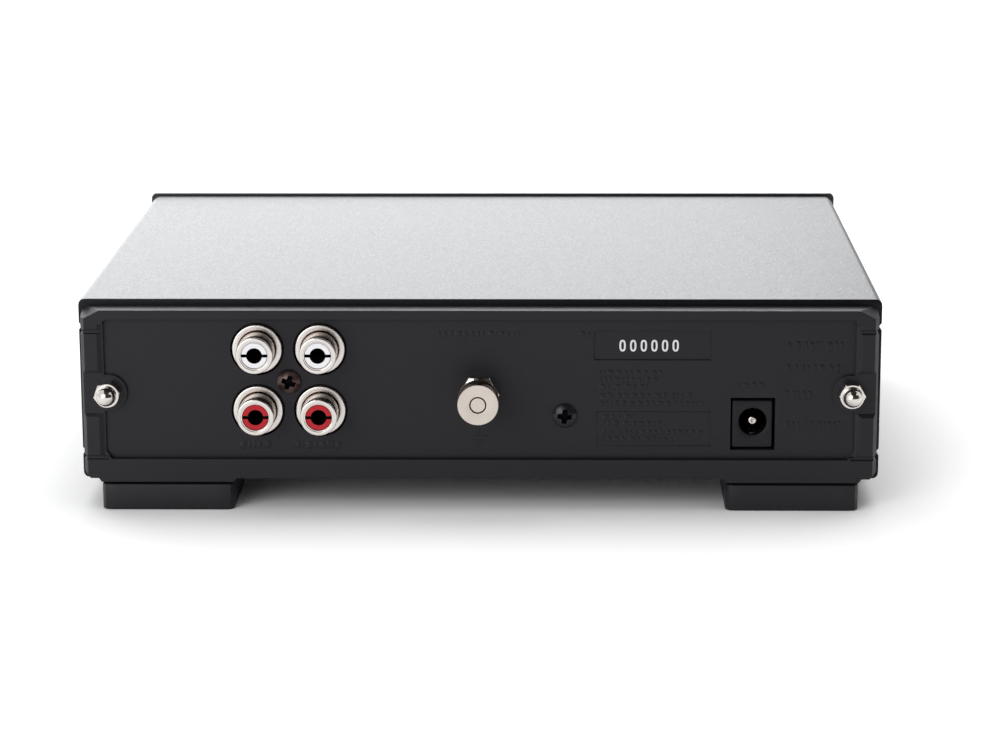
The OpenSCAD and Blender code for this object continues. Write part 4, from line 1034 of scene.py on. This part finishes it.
@dataclass
class PhonoSockets:
    """Four phono sockets: plated barrels and flanges, insulators and their screw."""

    flange_width: float = 11.0
    flange_thick: float = 1.2
    groove_width: float = 8.46
    groove_depth: float = 0.6
    lip_width: float = 0.36
    nose_length: float = 0.35
    barrel_width: float = 8.2
    bore: float = 5.8
    pin_hole: float = 3.3
    slot_height: float = 0.50
    slot_depth: float = 2.5
    mouth: float = 2.6
    rear_bore: float = 0.45
    face_sunk: float = 0.02

    def centres(self) -> tuple[float, float, float, float]:
        """X of the two columns and Z of the two rows."""
        low, high = corners_of("socket_barrels")
        r = self.flange_width / 2
        return low[0] + r, high[0] - r, low[2] + r, high[2] - r

    def barrels(self) -> None:
        """Turns the barrels, each with a stepped rim, a narrow groove inside its flange that is painted
        near-black as shade, and a side painted a darker nickel as a dark reflection.
        """
        low, high = corners_of("socket_barrels")
        x0, x1, z0, z1 = self.centres()
        tip, back = high[1], low[1]
        front = field_level() + FLANGE_RISE
        b, f, g, bore = self.barrel_width / 2, self.flange_width / 2, self.groove_width / 2, self.bore / 2
        under, floor, shoulder = front - self.flange_thick, front - self.groove_depth, tip - self.nose_length
        body = soften([(bore, back, 0), (b, back, 0.1), (b, under, 0)], steps=3)
        flange = soften([(b, under, 0), (f, under, 0.1), (f, front, 0.28), (g + 0.12, front, 0.1),
                         (g, front - 0.1, 0)], steps=5)
        gap = np.array([(g, front - 0.1), (g, floor), (b, floor)])
        side = np.array([(b, floor), (b, shoulder)])
        lip = bore + self.lip_width
        nose = soften([(b, shoulder, 0), (b - 0.02, tip, 0.3), (lip, tip, 0.05),
                       (lip - 0.06, tip - 0.16, 0.03), (bore + 0.04, tip - 0.12, 0.08),
                       (bore, tip - 0.9, 0), (bore, back, 0)], steps=6)
        skin = Skin("socket_barrels_plated")
        for x in (x0, x1):
            for z in (z0, z1):
                skin.grid(turned(body, x, z))
                skin.grid(turned(flange, x, z), finish=1)
                # Painted shade: the groove takes finish 3, the near-black finish.
                skin.grid(turned(gap, x, z), finish=3)
                # Painted dark reflection: the side takes the darker copy of the nickel.
                skin.grid(turned(side, x, z), finish=2)
                skin.grid(turned(nose, x, z))
        skin.piece([NICKEL, NICKEL_FLANGE, NICKEL_SIDE_PAINTED_REFLECTION, RECESS_PAINTED_SHADE], stands_for=["socket_barrels"])

    def insulators(self, name: str, node: str, z: float, finish: Finish) -> None:
        """Turns the insulator's body, and sets two half rings in front of it with the slot between.
        The turned body and the walls of the hole and the slot are painted near-black as shade.
        """
        low, high = corners_of(node)
        front, back = high[1], low[1]
        outer, hole, half = (high[2] - low[2]) / 2, self.pin_hole / 2, self.slot_height / 2
        step = front - self.slot_depth
        wide, mouth = hole + self.rear_bore, front - self.mouth
        profile = np.array([(wide, back), (outer, back), (outer, step), (hole, step), (hole, mouth),
                            (wide, mouth), (wide, back)])
        skin = Skin(name)
        for x in self.centres()[:2]:
            # Painted shade: the whole turned body takes finish 1, the near-black finish.
            skin.grid(turned(profile, x, z, 72), finish=1)
            for way in (1, -1):
                far, near = math.asin(half / outer), math.asin(half / hole)
                a = np.linspace(far, math.pi - far, 40)
                b = np.linspace(math.pi - near, near, 24)
                loop = np.concatenate([outer * at(a), hole * at(b)])
                # Painted shade: the slot's walls and the hole's wall take the near-black finish 1, while the
                # outer side keeps the plastic.
                shaded = np.r_[np.zeros(len(a) - 1, int), np.ones(len(b) + 1, int)]
                if way < 0:
                    loop, shaded = (loop * [1, -1])[::-1], np.roll(shaded[::-1], -1)
                stack = [(loop, step - self.face_sunk), (loop, front - 0.14),
                         (inset(loop, 0.03), front - 0.05), (inset(loop, 0.10), front)]
                skin.grid(stacked(stack, (x, z)), finish=shaded[:, None])
                for outline, level in (stack[-1], stack[0]):
                    skin.flat(outline + [x, z], level)
        skin.piece([finish, RECESS_PAINTED_SHADE], stands_for=[node])

    def build(self) -> None:
        """Builds the barrels, both rows of insulators and the screw between them."""
        z0, z1 = self.centres()[2:]
        self.barrels()
        self.insulators("insulators_white", "upper_insulators", z1, WHITE_PLASTIC)
        self.insulators("insulators_red", "lower_insulators", z0, RED_PLASTIC)
        set_screw("socket_screw_turned", "socket_screw", COPPER_SCREW, 20)


def set_screw(name: str, node: str, finish: Finish, turn: float) -> None:
    """Builds a panel screw in place of its CAD node."""
    low, high = corners_of(node)
    x, z, r = axis_of(node)
    seat = high[1] - PANEL_SCREW_HEIGHT
    skin = Skin(name)
    ScrewHead(2 * r, PANEL_SCREW_HEIGHT, SCREW_SHANK, seat - low[1], turn).add(skin, x, z, seat, Along.Y)
    skin.piece([finish, RECESS_PAINTED_SHADE], stands_for=[node])


@dataclass
class GroundPost:
    """The ground post: threaded stud, hexagon nut, washer and knurled thumb nut."""

    pitch: float = 0.7
    thread_depth: float = 0.16
    outer_flats: float = 7.9
    inner_flats: float = 7.0
    knurls: int = 46
    knurl_depth: float = 0.32
    bevel: float = 0.12
    stud_count: int = 48
    knurl_slope: float = 0.75
    nut_bore: float = 4.0
    nut_band: float = 0.5
    nut_slope: float = 1.7
    thumb_bore: float = 3.64
    thumb_bore_depth: float = 0.9
    face_rows: int = 3
    count: int = 144

    def hexagon(self, name: str, node: str, across_flats: float) -> None:
        """Stacks a hexagon nut with a chamfer on both faces and a hole."""
        low, high = corners_of(node)
        x, z, _ = axis_of(node)
        hexagon, unit = hexagonal(bearings(self.count), across_flats, 90), ring(1.0, self.count)
        thick, band = high[1] - low[1], self.nut_band
        lift = np.concatenate([np.linspace(0, band, 7), np.linspace(thick - band, thick, 7)])
        cone = across_flats / 2 + self.nut_slope * np.minimum(lift, thick - lift) - 0.02
        hole = unit * self.nut_bore / 2
        rows = [(unit * blunt_least(hexagon, c)[:, None], low[1] + y) for c, y in zip(cone, lift)]
        skin = Skin(name)
        skin.grid(stacked([(hole, low[1]), *rows, (hole, high[1])], (x, z)), stack_closed=True)
        skin.piece([NICKEL], stands_for=[node])

    def stud(self) -> None:
        """Turns the stud, its radius cut by a triangle wave of length over pitch less angle over a turn."""
        low, high = corners_of("ground_stud")
        x, z, r = axis_of("ground_stud")
        level = np.linspace(low[1], high[1] - 0.34, 190)
        angle = bearings(self.stud_count)
        fade = ease((high[1] - 0.5 - level) / 0.4)[None, :]
        radius = r - self.thread_depth * fade * (1 - saw(level[None, :] / self.pitch - angle[:, None] / TAU))
        body = np.stack([x + radius * np.cos(angle)[:, None], level[None, :] + 0 * radius,
                         z + radius * np.sin(angle)[:, None]], 2)
        end = turned(np.array([(r - 0.08, high[1] - 0.30), (r - 0.19, high[1] - 0.06), (r - 0.24, high[1]),
                               (0, high[1])]), x, z, self.stud_count)
        start = turned(np.array([(0, low[1])]), x, z, self.stud_count)
        skin = Skin("ground_stud_threaded")
        skin.grid(np.concatenate([start, body, end], 1))
        skin.piece([NICKEL_SATIN], stands_for=["ground_stud"])

    def thumb(self) -> None:
        """Turns the thumb nut with a diamond knurl.

        The radius is cut by the knurl's depth times 1 less the smaller of two triangle waves, one
        for each way that the grooves wind. The cut fades out at the back and scallops the front
        edge. The knurled side, the face with its lip, and the bore have a finish each: the knurled
        side is a darker copy of the nickel as a painted dark reflection, and the bore is painted
        near-black as shade.
        """
        low, high = corners_of("thumb_nut")
        x, z, r = axis_of("thumb_nut")
        back, front, n = low[1], high[1], self.knurls
        count, hole = n * 10, self.thumb_bore / 2
        angle = bearings(count)[:, None]
        level = np.linspace(back + self.bevel, front - self.bevel, 66)[None, :]
        wind = n * (level - back) / (TAU * r) * self.knurl_slope
        cut = 1 - np.minimum(saw(n * angle / TAU + wind), saw(n * angle / TAU - wind))
        scallop = 1 - 0.7 * ease((level - front + self.bevel + 0.3) / 0.3)
        fade = ease((level - back - self.bevel) / 0.2) * scallop
        radius = r - self.knurl_depth * (0.04 + 0.96 * fade * cut)
        side = np.stack([x + radius * np.cos(angle), level + 0 * radius, z + radius * np.sin(angle)], 2)
        lip = radius[:, -1:] - 0.03
        edge_ring = np.stack([x + lip * np.cos(angle), front + 0 * lip, z + lip * np.sin(angle)], 2)
        inner = front - self.thumb_bore_depth
        face = soften([(r - 0.6, front, 0), (hole + 0.06, front, 0.04), (hole, front - 0.10, 0.03),
                       (hole, inner, 0)], steps=5)
        rear = np.array([(hole, inner), (hole, back), (r - self.bevel - 0.05, back),
                         (r - self.knurl_depth * 0.04, back + self.bevel)])
        skin = Skin("thumb_nut_knurled")
        whole = np.concatenate([side, edge_ring, turned(face, x, z, count)], 1)
        rows = np.arange(whole.shape[1] - 1) - side.shape[1]
        # Finish 1 is the knurl's painted dark reflection and finish 2 is the bore's painted shade.
        skin.grid(whole, finish=np.where(rows < -1, 1, np.where(rows > self.face_rows, 2, 0)))
        skin.grid(np.concatenate([turned(rear, x, z, count), side[:, :1]], 1))
        skin.piece([NICKEL_SATIN, NICKEL_KNURL_PAINTED_REFLECTION, RECESS_PAINTED_SHADE], Body.THUMB, ["thumb_nut"], 20)

    def washer(self) -> None:
        """Turns the plain washer behind the thumb nut."""
        low, high = corners_of("thumb_washer")
        x, z, r = axis_of("thumb_washer")
        hole = self.nut_bore / 2
        profile = soften([(hole, low[1], 0.03), (r, low[1], 0.12), (r, high[1], 0.12), (hole, high[1], 0.03)],
                         True, 4)
        skin = Skin("thumb_washer_plated")
        skin.grid(turned(profile, x, z), stack_closed=True)
        skin.piece([NICKEL], Body.WASHER, ["thumb_washer"])

    def build(self) -> None:
        """Builds the stud, both nuts and the washer."""
        self.stud()
        self.hexagon("ground_nut_plated", "ground_nut", self.outer_flats)
        self.hexagon("ground_inner_nut_plated", "ground_inner_nut", self.inner_flats)
        self.washer()
        self.thumb()


@dataclass
class PowerInlet:
    """The power socket with its pin and spring."""

    hole: float = 6.2
    depth: float = 9.5
    corner: float = 0.5
    pin_width: float = 1.9
    top_gap: float = 0.3
    shift: float = 0.12
    spread: tuple[float, float] = (0.14, 0.2)
    edge_round: float = 0.25
    rib_x: float = 0.62
    rib_size: tuple[float, float, float] = (0.34, 0.5, 0.12)
    leaf_thick: float = 0.16
    count: int = 120

    def build(self) -> None:
        """Builds the socket, the pin and the spring leaf."""
        low, high = corners_of("power_socket")
        pin_low, pin_high = corners_of("power_socket_pin")
        x, z, _ = axis_of("power_socket_pin")
        self.socket(low, high, x, z)
        self.pin(pin_low, pin_high, x, z)
        self.spring(x)

    def socket(self, low: Array, high: Array, x: float, z: float) -> None:
        """Carries the outline from the back over the face's edge, then as a circle into the hole,
        whose wall and floor are painted near-black as shade.
        """
        mx, mz = (low[0] + high[0]) / 2 + self.shift, (low[2] + high[2] - self.top_gap) / 2
        width, height = high[0] - low[0] + self.spread[0], high[2] - low[2] - self.top_gap + self.spread[1]
        shifted = evenly(rectangle(width, height, self.corner) + [mx - x, mz - z], self.count)
        face, hole = high[1], ring(self.hole / 2, self.count)
        unit = ring(1.0, self.count)
        stack = [(shifted * 0, low[1]), (shifted, low[1]),
                 *((inset(shifted, d), y) for d, y in edge(self.edge_round, face)),
                 (unit * (self.hole / 2 + 0.22), face), (unit * (self.hole / 2 + 0.06), face - 0.06),
                 (hole, face - 0.22), (hole, face - self.depth), (hole * 0, face - self.depth)]
        skin = Skin("power_socket_moulding")
        # Painted shade: the hole's wall and floor take the near-black finish 1.
        shaded = (np.arange(len(stack) - 1) >= len(stack) - 3).astype(int)
        skin.grid(stacked(stack, (x, z)), finish=shaded)
        rib, top = rectangle(*self.rib_size, 4), z + self.hole / 2 - 0.14
        stack = [(rib * 0, face - 5.0), (rib, face - 5.0), (rib, face - 0.75), (rib * 0.7, face - 0.6),
                 (rib * 0, face - 0.6)]
        for side in (-self.rib_x, self.rib_x):
            skin.grid(stacked(stack, (x + side, top)))
        skin.piece([SOCKET_RESIN, RECESS_PAINTED_SHADE], stands_for=["power_socket"])

    def pin(self, low: Array, high: Array, x: float, z: float) -> None:
        """Turns the pin, with a rounded end and a shallow dimple."""
        r, tip = self.pin_width / 2, high[1]
        profile = soften([(0, low[1], 0), (r, low[1], 0.05), (r, tip, 0.38), (0.36, tip, 0.1),
                          (0.18, tip - 0.3, 0.1), (0, tip - 0.34, 0)], steps=6)
        skin = Skin("power_socket_pin_turned")
        skin.grid(turned(profile, x, z, 64))
        skin.piece([CONTACT_BRIGHT], stands_for=["power_socket_pin"])

    def spring(self, x: float) -> None:
        """Bends a leaf: a parabola across X, bowed up half-way and turned down at its front end."""
        low, high = corners_of("power_socket_spring")
        u, v = np.linspace(-1, 1, 15)[:, None], np.r_[0:0.95:14j, 0.955:1:8j][None, :]
        floor = low[2] + 0.12
        turned_down = 0.36 * ease((v - 0.94) / 0.06) * (1 - u ** 2)
        rise = 0.42 - 0.22 * u ** 2 + 0.28 * np.sin(math.pi * v) - turned_down
        half = (high[0] - low[0]) / 2 - 0.02
        y = low[1] + 0.05 + (high[1] - low[1] - 0.1) * v
        upper = np.stack([x + half * u + 0 * v, y + 0 * u, floor + rise], 2)
        lower = upper - [0, 0, self.leaf_thick]
        skin = Skin("power_socket_leaf")
        loop = np.concatenate([upper, lower[::-1]])
        caps = np.repeat(loop.mean(0, keepdims=True), len(loop), 0)
        skin.grid(np.concatenate([caps[:, :1], loop, caps[:, -1:]], 1))
        skin.piece([CONTACT_BRIGHT], stands_for=["power_socket_spring"])


@dataclass
class Front:
    """The fascia with the power button and the light pipe."""

    edge_round: float = 0.3
    edge_strip: float = 1.0
    cap_radius: float = 4.0
    cap_bore: float = 2.05
    pipe_radius: float = 1.5
    collar_gap: float = 0.3
    collar: float = 1.0

    def build(self) -> None:
        """Rounds the fascia's edges and turns the button and the light pipe."""
        eased_copy("fascia_plate", "front_fascia", FASCIA_PAINT, self.edge_round, self.edge_strip)
        low, high = corners_of("power_button")
        rim = corners_of("case_sleeve")[0][1]
        x, z, _ = axis_of("power_button")
        r, hole, near = self.cap_radius, self.cap_bore, rim + self.collar_gap
        wide, far = r + self.collar, near + self.collar
        cap = soften([(0, low[1] + 0.28, 0), (2.6, low[1] + 0.18, 0.7), (r - 0.45, low[1], 0.25),
                      (r, low[1] + 0.5, 0.3), (r, near, 0.02), (wide, near, 0.1), (wide, far, 0.1),
                      (r, far, 0.05), (r, high[1], 0.15), (hole, high[1], 0), (hole, rim, 0), (0, rim, 0)],
                     steps=6)
        skin = Skin("power_button_cap")
        skin.grid(turned(cap, x, z, 112))
        skin.piece([BUTTON_PLASTIC], Body.BUTTON, ["power_button"])
        low, high = corners_of("light_pipe")
        (x, z, _), r = axis_of("light_pipe"), self.pipe_radius
        wide = r + self.collar
        rod = soften([(0, low[1], 0), (r * 0.6, low[1], 0.5), (r, low[1] + 0.35, 0.2), (r, rim, 0.02),
                      (wide, rim, 0.1), (wide, high[1], 0.1), (0, high[1], 0)], steps=6)
        pipe = Skin("light_pipe_clear_rod")
        pipe.grid(turned(rod, x, z, 64))
        pipe.piece([CLEAR_PIPE], stands_for=["light_pipe"])


@dataclass
class Interior:
    """The pieces inside the case, which keep their CAD shapes."""

    finishes: dict[str, Finish] = field(default_factory=lambda: {
        "tie_rods": ZINC, "circuit_board": BOARD_RESIN, "socket_block": SOCKET_RESIN,
        "socket_contacts": CONTACT_PAINTED_SHADE, "board_bracket": ZINC, "ground_strap": ZINC,
        "switch_plunger": RELAY_PLASTIC, "switch_body": SOCKET_RESIN, "lamp": CLEAR_PIPE,
        "reservoir_capacitors": SLEEVE_BLUE, "coupling_capacitors": SLEEVE_BLUE, "film_capacitors": FILM_RED,
        "amplifier_chips": SOCKET_RESIN, "resistors": RESISTOR_BLUE, "regulators": SOCKET_RESIN,
        "heat_sinks": ALUMINIUM, "mute_relay": RELAY_PLASTIC})

    def build(self) -> None:
        """Gives each CAD node its finish."""
        for node, finish in self.finishes.items():
            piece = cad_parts[node]
            for place in piece.material_slots:
                place.material = finish.material()
            LOG.info("%s: %s", node, finish.name)


# ---- camera and light ----------------------------------------------------------------------------


@dataclass
class Studio:
    """The camera, the pale floor and the soft light round the object."""

    place: tuple[float, float, float] = (-17.41, 665.95, 185.38)
    yaw: float = -1.106
    pitch: float = 13.163
    roll: float = -0.17
    lens: float = 110.65
    ambient: float = 0.50
    floor_tone: float = 0.80
    floor_seen: float = 1.15
    floor_reach: float = 6000.0
    card_tone: Colour = (0.060, 0.049, 0.043)

    def camera(self) -> None:
        """Sets the camera from its angles: forward is (sin yaw cos pitch, cos yaw cos pitch, -sin pitch),
        turned half round Z because the rear panel faces +Y."""
        yaw, pitch, roll = (math.radians(a) for a in (self.yaw, self.pitch, self.roll))
        ahead = np.array([math.sin(yaw) * math.cos(pitch), math.cos(yaw) * math.cos(pitch), -math.sin(pitch)])
        right = np.array([math.cos(yaw), -math.sin(yaw), 0.0])
        up = np.cross(right, ahead)
        r = math.cos(roll) * right + math.sin(roll) * up
        u = -math.sin(roll) * right + math.cos(roll) * up
        half = np.array([-1, -1, 1])
        rim = corners_of("case_sleeve")[1][1]
        spot = (np.array(self.place) + [0, rim, 0]) * MM
        data = bpy.data.cameras.new("camera")
        data.lens, data.sensor_width = self.lens, 36.0
        data.clip_start, data.clip_end = 0.01, 50.0
        camera = linked("camera", data)
        turn = Matrix((*zip(*(axis * half for axis in (r, u, -ahead))),)).to_4x4()
        camera.matrix_world = Matrix.Translation(spot) @ turn
        bpy.context.scene.camera = camera

    def seen(self, net: Net) -> Num:
        """1 for rays from the camera and for those off gloss or through clear plastic."""
        path = net.node("ShaderNodeLightPath").outputs
        return Num(net, path["Is Camera Ray"]).most(Num(net, path["Is Glossy Ray"])).most(
            Num(net, path["Is Transmission Ray"]))

    def floor(self) -> None:
        """Lays a wide pale floor, which reads white where no shadow falls on it."""
        net = Net(bpy.data.materials.new("floor_pale"))
        plain, bright = (net.diffuse((tone,) * 3) for tone in (self.floor_tone, self.floor_seen))
        mixed = net.node("ShaderNodeMixShader", None, {0: self.seen(net), 1: plain, 2: bright}).outputs[0]
        net.node("ShaderNodeOutputMaterial", None, {0: mixed})
        across = np.linspace(-self.floor_reach, self.floor_reach, 9)
        x, y = np.meshgrid(across, across, indexing="ij")
        self.sheet("floor", np.stack([x, y, 0 * x], 2), net)

    def sheet(self, name: str, points: Array, net: Net) -> bpy.types.Object:
        """Adds a grid of points, in mm, as a piece of the stage with the net's material."""
        mesh = Skin(name).grid(points, ring_closed=False).mesh()
        mesh.materials.append(net.owner)
        made = linked(name, mesh)
        return made

    def card(self, name: str, points: Array) -> None:
        """Hangs a dark brown card that only mirror-like surfaces see, so that bright metal has contrast."""
        net = Net(bpy.data.materials.new(name))
        net.node("ShaderNodeOutputMaterial", None, {0: net.diffuse(self.card_tone)})
        made = self.sheet(name, points, net)
        for use in ("camera", "diffuse", "shadow", "transmission"):
            setattr(made, "visible_" + use, False)

    def cards(self) -> None:
        """Hangs one card at the right behind the camera and one overhead."""
        x, z = np.meshgrid(np.linspace(-2200, 40, 5), np.linspace(0, 1300, 4), indexing="ij")
        self.card("card_right", np.stack([x, 1250 + 0.45 * np.minimum(x + 500, 0), z], 2))
        x, y = np.meshgrid(np.linspace(-1700, 800, 5), np.linspace(-600, 2100, 4), indexing="ij")
        self.card("card_above", np.stack([x, y, 2200 + 0 * x], 2))

    def world(self) -> None:
        """Fills the world with an even light, seen as plain white by the camera and in reflections."""
        world = bpy.data.worlds.new("studio")
        bpy.context.scene.world = world
        net = Net(world)
        fill, white = (net.node("ShaderNodeBackground", None, {0: (1.0,) * 4, 1: level}).outputs[0]
                       for level in (self.ambient, 1.0))
        mixed = net.node("ShaderNodeMixShader", None, {0: self.seen(net), 1: fill, 2: white}).outputs[0]
        net.node("ShaderNodeOutputWorld", None, {0: mixed})

    def panel(self, name: str, spot: Colour, aim: Colour, size: tuple[float, float], level: float,
              tint: Colour = (1.0, 1.0, 1.0), mirrored: bool = True) -> None:
        """Hangs a soft light.

        Args:
            name: Its name.
            spot: Its place in metres.
            aim: The point that it faces, in metres.
            size: Its width and height in metres.
            level: Its brightness, where 1 is the white of a lit sheet of paper.
            tint: Its colour.
            mirrored: Whether it is seen in reflections.
        """
        data = bpy.data.lights.new(name, "AREA")
        data.shape = "RECTANGLE"
        data.size, data.size_y = size
        data.energy = level * math.pi * size[0] * size[1]
        data.color = tint
        lamp = linked(name, data)
        lamp.location = spot
        lamp.visible_glossy = mirrored
        lamp.rotation_euler = (Vector(aim) - Vector(spot)).to_track_quat("-Z", "Z").to_euler()

    def build(self) -> None:
        """Sets the view, the camera, the floor, the world and the lights."""
        bpy.context.scene.view_settings.view_transform = "Standard"
        self.camera()
        self.floor()
        self.cards()
        self.world()
        self.panel("light_behind", (0.465, -1.35, 0.42), (0, 0, 0.04), (1.7, 0.86), 3.05, (0.955, 0.98, 1.0))
        self.panel("light_left", (0.68, 1.08, 0.45), (0, 0.02, 0.02), (0.9, 0.8), 3.1)
        self.panel("light_above", (0.0, -0.45, 1.3), (0, 0, 0), (1.6, 1.2), 1.8, mirrored=False)


def main() -> None:
    """Builds every sub-assembly and the bracket screw, and reports each piece in the log."""
    logging.basicConfig(level=logging.INFO, format="%(name)s: %(message)s")
    for part in (Studio(), Sleeve(), Feet(), RearPanel(), DomedNuts(), PhonoSockets(), GroundPost(),
                 PowerInlet(), Front(), Interior()):
        part.build()
    set_screw("bracket_screw_turned", "bracket_screw", BLACK_STEEL, 5)


if __name__ == "__main__":
    main()
